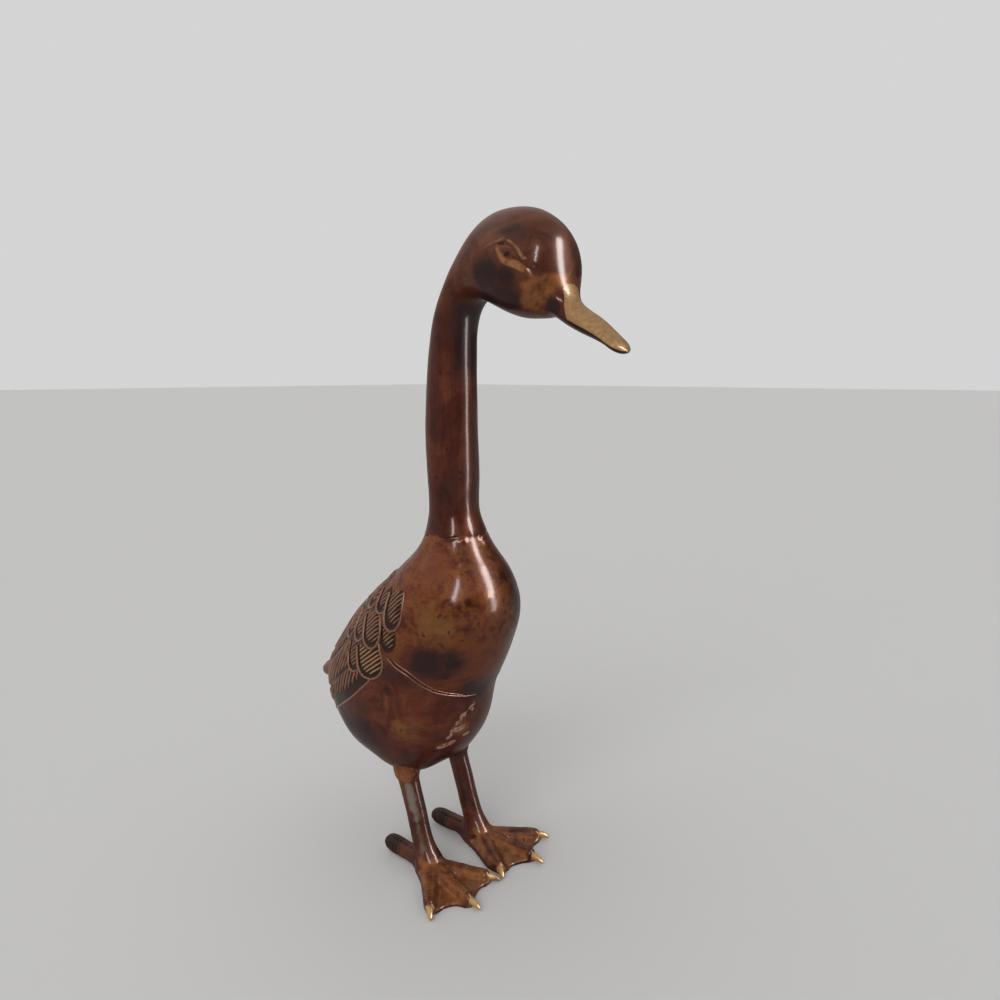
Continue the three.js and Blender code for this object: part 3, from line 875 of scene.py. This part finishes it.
def eye_relief(flat):
    """Height and marks of the lids, the eye and the brow, at x, z of the side view."""
    brow, way, _ = line_distance(flat, smooth_line(BROW, 1.5))
    brow = brow / np.interp(way, [0, 5, 10, 13], [0.45, 0.8, 0.7, 0.3])
    upper, _, above = line_distance(flat, smooth_line(UPPER_LID, 1.5))
    lower, along, over = line_distance(flat, smooth_line(LOWER_LID, 1.5))
    half = np.interp(along, [0, 4, 8, 14, 19, 23], [0.7, 0.9, 1.5, 1.7, 1.2, 0.5])
    open_side = lower * over - half
    between = smoothstep(0.4, 1.0, upper * -above) * smoothstep(0, 0.6, open_side)
    between = between * (norm(flat - PUPIL) < 8.5)
    pupil = norm((flat - PUPIL) / (1.8, 1.6))
    fold = norm((flat - (64.6, 339.5)) / (3.4, 1.1))
    corner = norm((flat - CORNER) / (3.4, 2.4))
    ticks = smoothstep(1.15, 0.75, corner) * (0.5 + 0.5 * np.sin(2.6 * (flat @ (0.8, 0.6))))
    band = smoothstep(half + 0.3, half - 0.3, lower)
    under = bell(open_side + 2 * half + 0.9, 0.7) * smoothstep(5, 8, along) * smoothstep(19, 15, along)
    groove = bell(upper - 1.8, 0.55) * between
    height = 0.3 * smoothstep(1.2, 0.4, brow) + 0.4 * smoothstep(1.1, 0.5, upper) + 0.45 * band
    height = height + between * (0.35 - 0.5 * bell(upper - 1.7, 0.5)) - 0.25 * under
    height = height - 0.3 * bell(pupil - 1.2, 0.25) - 0.15 * ticks - 0.3 * smoothstep(1.1, 0.6, fold)
    gold = 0.46 * band + 0.5 * smoothstep(1.1, 0.6, upper) + 0.46 * smoothstep(1.2, 0.6, brow)
    dark = 0.64 * smoothstep(1.3, 0.6, pupil) + 0.5 * groove + 0.6 * ticks
    dark = dark + 0.6 * smoothstep(1.2, 0.7, fold) * (1 - band) + 0.7 * under
    return height, {
        "gold": np.clip(gold, 0, 0.55),
        "olive": 0.35 * between,
        "tan": np.maximum(0.42 * between, smoothstep(half + 0.9, half, lower)),
        "dark": np.clip(dark, 0, 1),
    }


def eyes(gather):
    """A finely divided shell over the skin round each eye, its border sunk into the skin."""
    along, across = [np.linspace(*size) for size in EYE_GRID]
    a, b = np.meshgrid(along, across, indexing="ij")
    rows, columns = a.shape
    flat = EYE_MIDDLE + a.reshape(-1, 1) * EYE_ALONG + b.reshape(-1, 1) * EYE_ACROSS
    spots = np.array([side_lookup(x, z, KNOTS[THROAT], KNOTS[BILL_ROOT]) for x, z in flat])
    base = skin(spots[:, 0], spots[:, 1])
    normal = skin_normal(spots[:, 0], spots[:, 1])
    height, marks = eye_relief(flat)
    border = np.min([a - along[0], along[-1] - a, b - across[0], across[-1] - b], axis=0).ravel()
    height = height + 0.05 - 0.3 * smoothstep(3.2, 0, border) + unevenness(base)
    top = base + normal * height[:, None]
    grid = np.arange(rows * columns).reshape(rows, columns)
    faces = [
        (grid[i, j], grid[i, j + 1], grid[i + 1, j + 1], grid[i + 1, j])
        for i in range(rows - 1) for j in range(columns - 1)
    ]
    ring = [*grid[:, 0], *grid[-1, 1:], *grid[-2::-1, -1], *grid[0, -2:0:-1]]
    low = base[ring] - normal[ring] * 0.9
    middle = (base - 2 * normal)[grid[rows // 2, columns // 2]]
    n, first = len(ring), rows * columns
    for k in range(n):
        after = (k + 1) % n
        faces.append((ring[k], ring[after], first + after, first + k))
        faces.append((first + k, first + after, first + n))
    faces = [tuple(map(int, face)) for face in faces]
    points = np.vstack([top, low, middle])
    marks = {name: np.append(values, np.zeros(n + 1)) for name, values in marks.items()}
    outward = np.cross(top[columns] - top[0], top[1] - top[0]) @ normal[0] < 0
    for side in (1, -1):
        here = points * (1, side, 1)
        shown = patch_marks(here)
        for name, values in marks.items():
            shown[name] = np.maximum(shown.get(name, 0), values)
        gather.add(here, faces, PATINA, turn=(side > 0) != outward, **shown)


def head_relief(points, t, normals):
    """Painted shade on the downward-facing underside of the bill, and golden wear of the head and bill.
    """
    flat = points[:, [0, 2]]
    past = flat[:, 0] - 87.4 - (318.6 - flat[:, 1]) * 0.3
    bill = t > KNOTS[BILL_ROOT] - 4
    gold = np.where(bill, smoothstep(-0.8, 0.5, past), 0)
    # painted shade: the bill darkens where its surface faces down
    dark = np.where(bill & (past > 0), 0.9 * smoothstep(-0.2, -0.5, normals[:, 2]), 0)
    return dark, gold * (1 - dark)


# lumps of solder by the seam: x, y, z, reach and height
LUMPS = [
    (25.3, -9.1, 193.4, 1.7, 0.8), (29.6, -15.1, 183, 1.5, 0.5), (27.3, 3, 193.4, 1.8, 0.9),
    (28.5, 4.2, 190.5, 1.5, 0.7), (21.9, -22.3, 183.2, 1.3, 0.4), (26.6, 8, 194, 1.6, 0.7),
    (25, -3, 195.5, 1.4, 0.5),
]
SEAM_HEIGHT = 195.6


def seam_relief(points):
    """The brazed seam under the flaring neck: height, darkness and share of the neck's colour."""
    wobble = np.array([1.8 * noise.noise(Vector((x * 0.09, y * 0.09, 4.2))) for x, y, _ in points])
    away = points[:, 2] - SEAM_HEIGHT - wobble
    open_part = np.array([noise.noise(Vector((x * 0.12, y * 0.12, 7.7))) for x, y, _ in points])
    open_part = 0.25 + 0.6 * smoothstep(-0.15, 0.3, open_part)
    flare = 0.6 * smoothstep(-0.5, 0.5, away) * smoothstep(14, 2, away)
    flare = flare + 0.5 * smoothstep(-14, -2, away) * smoothstep(0.5, -0.5, away)
    cut = bell(away + 0.5, 0.7) * open_part
    height = flare - 0.4 * cut
    for x, y, z, reach, lift in LUMPS:
        height = height + lift * bell(norm(points - (x, y, z)), reach)
    return height, 0.8 * cut, smoothstep(-0.9, 0.4, away)


# ---- raised lines: hatching, rims and barbs of the feathers, and the breast line ----
def ridge(gather, line, side, width, lift, sink, gold):
    """A closed, flat-topped bar along a line of the map, thinner at both ends."""
    p, z = line.T
    t, angle = from_map(p, z)
    normal = skin_normal(t, angle)
    centre = skin(t, angle) + normal * body_relief(p, z, np.full(len(p), side))[0][:, None]
    flip = np.array([1, side, 1])
    centre, normal = centre[::side] * flip, normal[::side] * flip
    across = unit(np.cross(normal, np.gradient(centre, axis=0)))
    count = len(centre)
    share = np.linspace(0, 1, count)
    body = np.clip(np.minimum(share, 1 - share) * (count - 1), 0, 1)
    half = (width / 2 * (0.35 + 0.65 * body))[:, None]
    top = (lift * (0.15 + 0.85 * body))[:, None]
    corners = [(-1, -sink), (-0.35, top), (0.35, top), (1, -sink)]
    rings = np.stack([centre + across * half * a + normal * b for a, b in corners], 1)
    n = len(corners)
    caps = [tuple(range(n))[::-1], tuple(range((count - 1) * n, count * n))]
    gather.add(rings.reshape(-1, 3), bands(count, n) + caps, BRASS, turn=True, gold=gold)


def runs(keep):
    """Start and end of each unbroken stretch of True."""
    edges = np.flatnonzero(np.diff(np.concatenate([[0], keep.astype(int), [0]])))
    return list(zip(edges[::2], edges[1::2]))


def rim(feather):
    """A scale feather's outline from the top of one edge, round the tip, to the top of the other."""
    tip = np.array(feather[:2])
    half_width, length, lean = feather[2:5]
    across, up = axes(lean)
    left = [tip - across * half_width + up * s for s in np.linspace(length, 0.55 * length, 14)]
    right = [tip + across * half_width + up * s for s in np.linspace(0.55 * length, length, 14)]
    round_tip = []
    for share in np.linspace(0, 1, 60):
        a = -half_width * math.cos(math.pi * share)
        b = ROUND_END * length * (1 - math.sin(math.pi * share))
        round_tip.append(tip + across * a + up * b)
    return np.vstack([left, round_tip, right])


def hatching(gather, side, draw):
    """The strokes inside each scale feather, and its raised rim."""
    for k, feather in enumerate(SCALES):
        length, lean, slope, step, gold = feather[3:]
        up = axes(lean)[1]
        middle = np.array(feather[:2]) + up * length / 2
        along, beside = axes(slope)
        for m in range(-int(length / step), int(length / step) + 1):
            offset = m * step + draw.uniform(-0.12, 0.12)
            tilt = draw.uniform(-0.03, 0.03) + 0.006 * m
            turned = along + beside * tilt
            sample = middle + beside * offset + np.arange(-length, length, 0.25)[:, None] * turned
            top, depth, _ = top_feather(sample)
            lower_left = inside_feather(sample - along * 1.7 - up * 0.8, feather)[0]
            keep = (top == k) & (depth > 0.9) & (lower_left > 0.7) & (polygon_depth(sample, WING) > 0.4)
            for start, end in runs(keep):
                if end - start >= 7:
                    cut = int(draw.integers(0, 3))
                    line = resample(sample[start + cut : end], 2.2)
                    ridge(gather, line, side, 1.35 * step / 1.85, 0.42, 0.75, gold)
        if k != NO_RIM:
            line = rim(feather)
            keep = polygon_depth(line, WING) > -2.0
            for later in SCALES[k + 1 :]:
                keep &= inside_feather(line, later)[0] <= 0.2
            for start, end in runs(keep):
                if end - start > 5:
                    ridge(gather, resample(line[start:end], 1.6), side, 1.7, 0.42, 0.6, 0.15 * gold)


def barbs(gather, side, draw):
    """The flight feathers' barbs, shafts and edges."""
    lines = (FIRST_SHAFT, LOWER_EDGE, SECOND_EDGE, INNER_SHAFT)
    shaft, lower, second, inner = [smooth_line(line, 1.0) for line in lines]
    ridge(gather, resample(lower, 2.4), side, 1.9, 0.5, 0.6, 0.0)
    ridge(gather, resample(second, 2.4), side, 1.1, 0.35, 0.7, 0.2)

    def free(points):
        return (top_feather(points)[0] < 0) & (polygon_depth(points, WING) > 0.8)

    def barb(root, steep, reach, keep_if, gold, width):
        way = np.array([math.cos(steep), math.sin(steep)])
        sample = root + np.arange(0.9, reach, 0.25)[:, None] * way
        keep = free(sample) & keep_if(sample)
        for a, b in runs(keep)[:1]:
            if b - a > 12:
                ridge(gather, resample(sample[a:b], 2.4), side, width, 0.5, 0.6, gold)

    def roots(line, leans):
        """Places along a line whose barbs, leaning as given, lie evenly apart, and their width."""
        place = 1.5
        while place < len(line) - 2:
            root = line[int(place)]
            along = line[int(place) + 1] - root
            lean = math.radians(np.interp(root[0], (-90, -34), leans) + draw.uniform(-2, 2))
            space = np.interp(root[0], (-80, -36), (5.0, 3.0))
            yield root, lean, 0.52 * space
            place += space / max(0.3, math.sin(lean - math.atan2(-along[1], -along[0])))

    longer = np.vstack([shaft[0] + np.arange(18, 0, -1)[:, None] * (0.78, 0.62), shaft])
    for root, lean, width in roots(longer, (62, 76)):
        stop = 5.2 + draw.uniform(-0.8, 0.8)
        barb(root, lean + math.pi, 38, lambda q: line_distance(q, lower)[0] > stop, 0.1, width)
    for root, lean, width in roots(shaft, (66, 72)):
        barb(root, lean, 26, lambda q: line_distance(q, second)[0] > 1.3, 0.08, width)

    def off_back(points):
        return points[:, 0] - back_middle(points[:, 1]) > BACK_GAP + 1.5

    for root, lean, width in roots(second, (60, 66)):
        barb(root, lean, 30, lambda q: off_back(q) & (line_distance(q, inner)[0] > 1.3), 0.05, width)
    for root, lean, width in roots(inner, (60, 66)):
        barb(root, lean, 30, off_back, 0.05, width)


def breast_lines(gather, side):
    """The double line across the breast."""
    line = smooth_line(BREAST_LINE, 1.6)
    along = np.gradient(line, axis=0)
    beside = unit(np.stack([-along[:, 1], along[:, 0]], -1))
    apart = np.interp(np.linspace(0, 1, len(line)), [0, 0.35, 0.8, 1], [1.25, 1.15, 0.6, 0.35])[:, None]
    ends = (len(line), -6) if side < 0 else (-12, -14)
    ridge(gather, (line - beside * apart)[: ends[0]], side, 1.1, 0.35, 0.5, 0.0)
    ridge(gather, (line + beside * apart)[2 : ends[1]], side, 1.0, 0.3, 0.5, 0.0)


# ---- tail ----
# x, z, half width and half height, from inside the body to the tip
TAIL = np.array([
    (-60, 100, 26, 12), (-72, 99, 21, 10.5), (-84, 96.3, 17, 8.6), (-93, 93.4, 13.6, 7),
    (-100, 91, 10.4, 5.5), (-104.5, 89.6, 7, 3.8), (-106.4, 89, 3.6, 2),
], float)
TAIL_ENDS = [(TAIL[0, 0] + 1, 0, TAIL[0, 1]), (-107, 0, 88.8)]
TAIL_SIDES = 44


def tail(gather):
    rows = smooth_line(TAIL, 1.4)
    angle = np.linspace(0, 2 * math.pi, TAIL_SIDES, endpoint=False)
    rings = []
    for x, z, half_width, half_height in rows:
        flute = 0.35 * np.cos(6 * np.pi * np.cos(angle)) * (np.sin(angle) > 0.1)
        y = half_width * np.cos(angle)
        height = half_height * np.sign(np.sin(angle)) * np.abs(np.sin(angle)) ** 0.8 + flute
        rings.append(np.stack([np.full(TAIL_SIDES, x), y, z + height], -1))
    points = np.vstack([*rings, TAIL_ENDS])
    gather.add(points, tube(len(rings), TAIL_SIDES, turned=True), PATINA, **patch_marks(points))


# ---- legs and feet ----
# x, y, z and radius along the left leg and its hind toe
LEG = [
    (-12, 20, 68, 9), (-10.5, 20.1, 61, 8), (-9.5, 20.2, 55.5, 7.5), (-9, 20.2, 53.2, 7),
    (-8.6, 20.2, 51.8, 6.1), (-7.6, 20.3, 48.5, 5.9), (-3.2, 20.3, 36, 5.8),
    (1.2, 20.4, 22.5, 5.8), (4.6, 20.5, 13.5, 6.4), (8, 20.6, 6, 8.5),
]
LEG_TIP = (8, 20.6, 2)
HIND_TOE = [
    (4, 20.4, 5.5, 5.5), (-8, 19.9, 5, 5), (-18, 19.6, 4.9, 5.2),
    (-25, 19.4, 4.7, 4.8), (-28.6, 19.3, 4.5, 3.2),
]
HIND_TOE_TIP = (-30, 19.3, 4.3)
FOOT_OUTLINE = [
    (-7, 19.6), (1.5, 26), (12, 32), (22, 39.3), (30, 45.6), (35.6, 47.4), (37.2, 43.6),
    (37.4, 38.4), (40.5, 32.8), (45.4, 30.4), (47.6, 27.2), (46, 23.2), (42.6, 18.6),
    (41, 13.4), (41.6, 8.4), (40.8, 4.1), (37, 2.6), (29.5, 3.6), (22, 6.9), (12.5, 10.6), (1.5, 14),
]
FOOT_RINGS = (0.06, 0.16, 0.28, 0.4, 0.5, 0.58, 0.66, 0.73, 0.8, 0.86, 0.92, 0.97, 1.0)
FOOT_CENTRE = np.array([9, 20.6])
WEB_RIM, WEB_ROOT, WEB_REACH = 1.9, 5.5, 38
TOE_HALF_WIDTH, TOE_HEIGHT = (6.5, 3.8), (9.6, 7)
# where each front toe ends, and the point of its claw
TOES = np.array([((33, 44.8), (39.5, 50)), ((43.5, 26.5), (53.2, 26.8)), ((37.5, 5.8), (45, 1.2))])
CLAW = ((-0.35, 3.4, 2.1), (0.1, 3.3, 2.1), (0.45, 2.9, 1.8), (0.75, 2.2, 1.3), (0.93, 1.4, 0.7))
CLAW_TIP_HEIGHT = 1.0
VOXEL = 0.85


def bar(rows, tip, sides, step):
    """Points and faces of a round bar through rows of x, y, z and radius, closed by a tip."""
    rows = smooth_line(rows, step)
    centre = rows[:, :3]
    along = unit(np.gradient(centre, axis=0))
    up = unit(np.cross((0, 1, 0), along))
    beside = np.cross(along, up)
    angle = np.linspace(0, 2 * math.pi, sides, endpoint=False)[None, :, None]
    round_way = np.cos(angle) * up[:, None] + np.sin(angle) * beside[:, None]
    rings = centre[:, None] + rows[:, 3, None, None] * round_way
    return np.vstack([rings.reshape(-1, 3), centre[:1], [tip]]), tube(len(rows), sides)


def foot_height(x, y):
    at = np.stack([x, y], -1) - FOOT_CENTRE
    away = np.minimum(norm(at) / WEB_REACH, 1)
    height = WEB_ROOT + (WEB_RIM - WEB_ROOT) * away**0.8
    for end, _ in TOES:
        toe = end - FOOT_CENTRE
        along = np.clip(at @ toe / (toe @ toe), 0, 1)
        aside = norm(at - along[..., None] * toe)
        reach = TOE_HALF_WIDTH[0] + (TOE_HALF_WIDTH[1] - TOE_HALF_WIDTH[0]) * along
        top = TOE_HEIGHT[0] + (TOE_HEIGHT[1] - TOE_HEIGHT[0]) * along
        swell = np.sqrt(np.maximum(0, 1 - (aside / reach) ** 2))
        height = np.maximum(height, WEB_RIM + (top - WEB_RIM) * swell)
    return height


def webbed_foot():
    """Points and faces of the web with the swells of its three toes."""
    corners = np.array(FOOT_OUTLINE, float)
    outline = smooth_line(np.vstack([corners[-3:], corners, corners[:3]]), 0.8)
    from_start = norm(outline - corners[0])
    half = len(outline) // 2
    first = np.argmin(from_start[: len(outline) // 3])
    outline = outline[first : half + np.argmin(from_start[half:])]
    rings = []
    for share in FOOT_RINGS:
        flat = FOOT_CENTRE + share * (outline - FOOT_CENTRE)
        height = foot_height(flat[:, 0], flat[:, 1])
        rings.append(np.column_stack([flat, 0.7 * height if share == 1.0 else height]))
    rings.append(np.column_stack([outline, np.zeros(len(outline))]))
    top = (*FOOT_CENTRE, float(foot_height(*[np.array([c]) for c in FOOT_CENTRE])[0]))
    points = np.vstack([*rings, [top], [(*FOOT_CENTRE, 0)]])
    return points, tube(len(rings), len(outline), turned=True)


def foot_relief(points, normals):
    """Height, dark patina, gold, tan and a painted reflection, on the leg, toes and web; the tan is
    partly painted light on upward faces and a painted highlight at the top of the leg.
    """
    height, dark, gold = np.zeros((3, len(points)))
    web = np.ones(len(points))
    x, y, z = points.T
    flat = points[:, :2]
    low = z < 12
    for k, (end, point) in enumerate(TOES):
        toe = end - FOOT_CENTRE
        size = norm(toe)
        along = (flat - FOOT_CENTRE) @ toe / size
        aside = np.abs((flat - FOOT_CENTRE) @ np.array([-toe[1], toe[0]]) / size)
        crest = smoothstep(3.2, 1.4, aside) * (normals[:, 2] > 0.15) * low
        phase = (along + 0.35 * aside + k * 0.6) % 2.3
        tick = bell(phase - 1.15, 0.42) * crest * smoothstep(8, 13, along)
        tick = tick * smoothstep(size + 3, size, along)
        height -= 0.4 * tick
        dark = np.maximum(dark, 0.6 * tick)
        near = norm(points - (*point, CLAW_TIP_HEIGHT + 1))
        gold = np.maximum(gold, smoothstep(8.6, 7.2, near) * low * 0.5)
        dark = np.maximum(dark, 0.46 * smoothstep(15, 9.5, near) * smoothstep(7.2, 8.4, near) * low)
        web = np.minimum(web, np.where((along > 0) & (along < size + 2), smoothstep(2.2, 4.6, aside), 1))
    back = smoothstep(-6, -10, x) * (z < 14)
    groove = bell((x + 0.8 * np.sin(y * 0.7)) % 2.6 - 1.3, 0.4) * back
    height -= 0.4 * groove
    dark = np.maximum(dark, 0.6 * back * smoothstep(-8, -18, x) + 0.25 * groove)
    # tan on the upward faces of the feet: partly their own colour, partly painted light from above
    tan = smoothstep(0.1, 0.5, normals[:, 2]) * smoothstep(15, 9, z) * smoothstep(0, 7, x)
    # the lighter band at the top of the leg is a painted highlight
    tan = np.maximum(tan * (0.62 + 0.38 * web), 0.7 * smoothstep(50.5, 53.5, z))
    # painted reflection: a pale grey band down one side of each leg
    turn = np.arctan2(y - 20.3, x + 3.2 - (z - 36) * -0.34)
    painted_reflection = bell(turn - 0.85, 0.5) * smoothstep(55, 49, z)
    painted_reflection = painted_reflection * smoothstep(8, 14, z) * (0.5 + 0.5 * smoothstep(28, 38, z))
    return height, dark, gold, tan, painted_reflection


def voxel_union(parts):
    """One closed skin round several overlapping ones, smoothed a little."""
    joined = Gather()
    for points, faces in parts:
        joined.add(points, faces, PATINA)
    rough = joined.mesh("rough")
    holder = linked("rough", rough)
    remesh = holder.modifiers.new("voxels", "REMESH")
    remesh.mode = "VOXEL"
    remesh.voxel_size = VOXEL * MM
    made = bmesh.new()
    made.from_object(holder, bpy.context.evaluated_depsgraph_get())
    every_way = {"use_axis_x": True, "use_axis_y": True, "use_axis_z": True}
    for _ in range(4):
        bmesh.ops.smooth_vert(made, verts=made.verts, factor=0.5, **every_way)
    made.normal_update()
    points = np.array([v.co for v in made.verts]) / MM - (SHIFT_X, 0, 0)
    normals = np.array([v.normal for v in made.verts])
    faces = [tuple(v.index for v in f.verts) for f in made.faces]
    made.free()
    bpy.data.objects.remove(holder)
    bpy.data.meshes.remove(rough)
    return points, normals, faces


def claw(end, point):
    rows = [(*(end + share * (point - end)), height, radius) for share, height, radius in CLAW]
    return bar(rows, (*point, CLAW_TIP_HEIGHT), 20, 0.8)


def legs(gather):
    """Both legs with their feet, each one skin, and the claws, which are bare metal."""
    parts = [bar(LEG, LEG_TIP, 32, 1.5), bar(HIND_TOE, HIND_TOE_TIP, 28, 1.5), webbed_foot()]
    points, normals, faces = voxel_union(parts)
    height, dark, gold, tan, painted_reflection = foot_relief(points, normals)
    height = height + waves(points, (0.12, 5.5, 0.22), (0.4, 1.2, 0.05))
    shaped = points + normals * height[:, None]
    shaped[:, 2] = np.where(points[:, 2] < 0.5, 0.0, np.maximum(shaped[:, 2], 0.05))
    for side in (1, -1):
        flip = np.array([1, side, 1])
        # the painted highlight at the top of the leg is kept mostly to the right leg
        collar = tan * np.where((side > 0) & (points[:, 2] > 45), 0.2, 1)
        marks = {"dark": dark, "gold": gold, "tan": collar, "ash": painted_reflection}
        gather.add(shaped * flip, faces, PATINA, turn=side < 0, **marks)
        for end, point in TOES:
            spots, sides = claw(end, point)
            way = point - end
            bright = smoothstep(-0.25, 0.4, (spots[:, :2] - end) @ way / (way @ way))
            gather.add(spots * flip, sides, BRASS, turn=side < 0, gold=0.3 + 0.7 * bright)


# ---- the duck ----
draw = np.random.default_rng(7)
gather = Gather()
main_form(gather)
eyes(gather)
tail(gather)
legs(gather)
for side in (1, -1):
    hatching(gather, side, draw)
    barbs(gather, side, draw)
    breast_lines(gather, side)
mesh = gather.mesh(NODE + "_skin")
duck = linked("duck", mesh)
mesh.materials.append(patina_material())
mesh.materials.append(ridge_material())

# ---- floor, world and lamps ----
FLOOR_REACH = 15
corners = [(FLOOR_REACH * x, FLOOR_REACH * y, 0) for x, y in ((-1, -1), (1, -1), (1, 1), (-1, 1))]
floor_mesh = bpy.data.meshes.new("floor")
floor_mesh.from_pydata(corners, [], [(0, 1, 2, 3)])
floor = linked("floor", floor_mesh)
floor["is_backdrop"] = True
pale, pale_shader, _ = graph("pale")
fill(pale_shader, {"Base Color": (0.6, 0.595, 0.59, 1), "Roughness": 0.8, "Specular IOR Level": 0})
floor_mesh.materials.append(pale)

# the room is bright behind the bird and dim behind the camera, but even where the camera sees it
BRIGHT_WAY = (-0.994, -0.11, 0)
SEEN_ROOM = 0.66
world = bpy.data.worlds.new("world")
bpy.context.scene.world = world
world.use_nodes = True
node = partial(new_node, world.node_tree)
ray = node("ShaderNodeTexCoord", {}, "Generated")
towards = node("ShaderNodeVectorMath", {0: ray, 1: BRIGHT_WAY}, "Value", operation="DOT_PRODUCT")
room = rise(node, towards, -0.3, 0.8, 0.05, 0.77)
seen = node("ShaderNodeMix", {0: node("ShaderNodeLightPath", {}, "Is Camera Ray"), 2: room, 3: SEEN_ROOM})
fill(world.node_tree.nodes["Background"], {"Color": seen})
bpy.context.scene.view_settings.view_transform = "Standard"


def direction(azimuth, elevation):
    """A way outwards from the bird, where azimuth 0 is its right side and 90 its front."""
    a, e = math.radians(azimuth), math.radians(elevation)
    return Vector((math.sin(a) * math.cos(e), -math.cos(a) * math.cos(e), math.sin(e)))


LAMP_DISTANCE = 1.2
LAMP_CENTRE = Vector((0, 0, 0.2))


def window(name, azimuth, elevation, size, radiance, roll=0):
    """A lamp for reflections alone, in a direction seen from the bird."""
    lamp = bpy.data.lights.new(name, "AREA")
    lamp.shape = "RECTANGLE"
    lamp.size, lamp.size_y = size
    lamp.energy = radiance * math.pi * size[0] * size[1]
    way = direction(azimuth, elevation)
    made = linked(name, lamp)
    made.location = LAMP_CENTRE + way * LAMP_DISTANCE
    turned = (-way).to_track_quat("-Z", "Y") @ Quaternion((0, 0, 1), math.radians(roll))
    made.rotation_euler = turned.to_euler()
    made.visible_diffuse = False


def sky(name, azimuth, elevation, energy, spread, glossy):
    """A broad even light from a direction."""
    sun = bpy.data.lights.new(name, "SUN")
    sun.energy = energy
    sun.angle = math.radians(spread)
    made = linked(name, sun)
    made.rotation_euler = direction(azimuth, elevation).to_track_quat("Z", "Y").to_euler()
    made.visible_glossy = glossy


window("window_top", 122, 27, (0.24, 0.74), 42, -25)
window("window_low", 117, 3, (0.18, 0.34), 21)
window("window_foot", 116, -8, (0.2, 0.1), 20)
window("second_window", 51, 31, (0.1, 0.58), 38, -28)
sky("overhead", 0, 90, 1.25, 120, True)
sky("fill", 22, 24, 1.6, 50, False)

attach(duck, "root")
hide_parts(NODE)
boxes = [[list(corner) for corner in box] for box in (cad_box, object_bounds())]
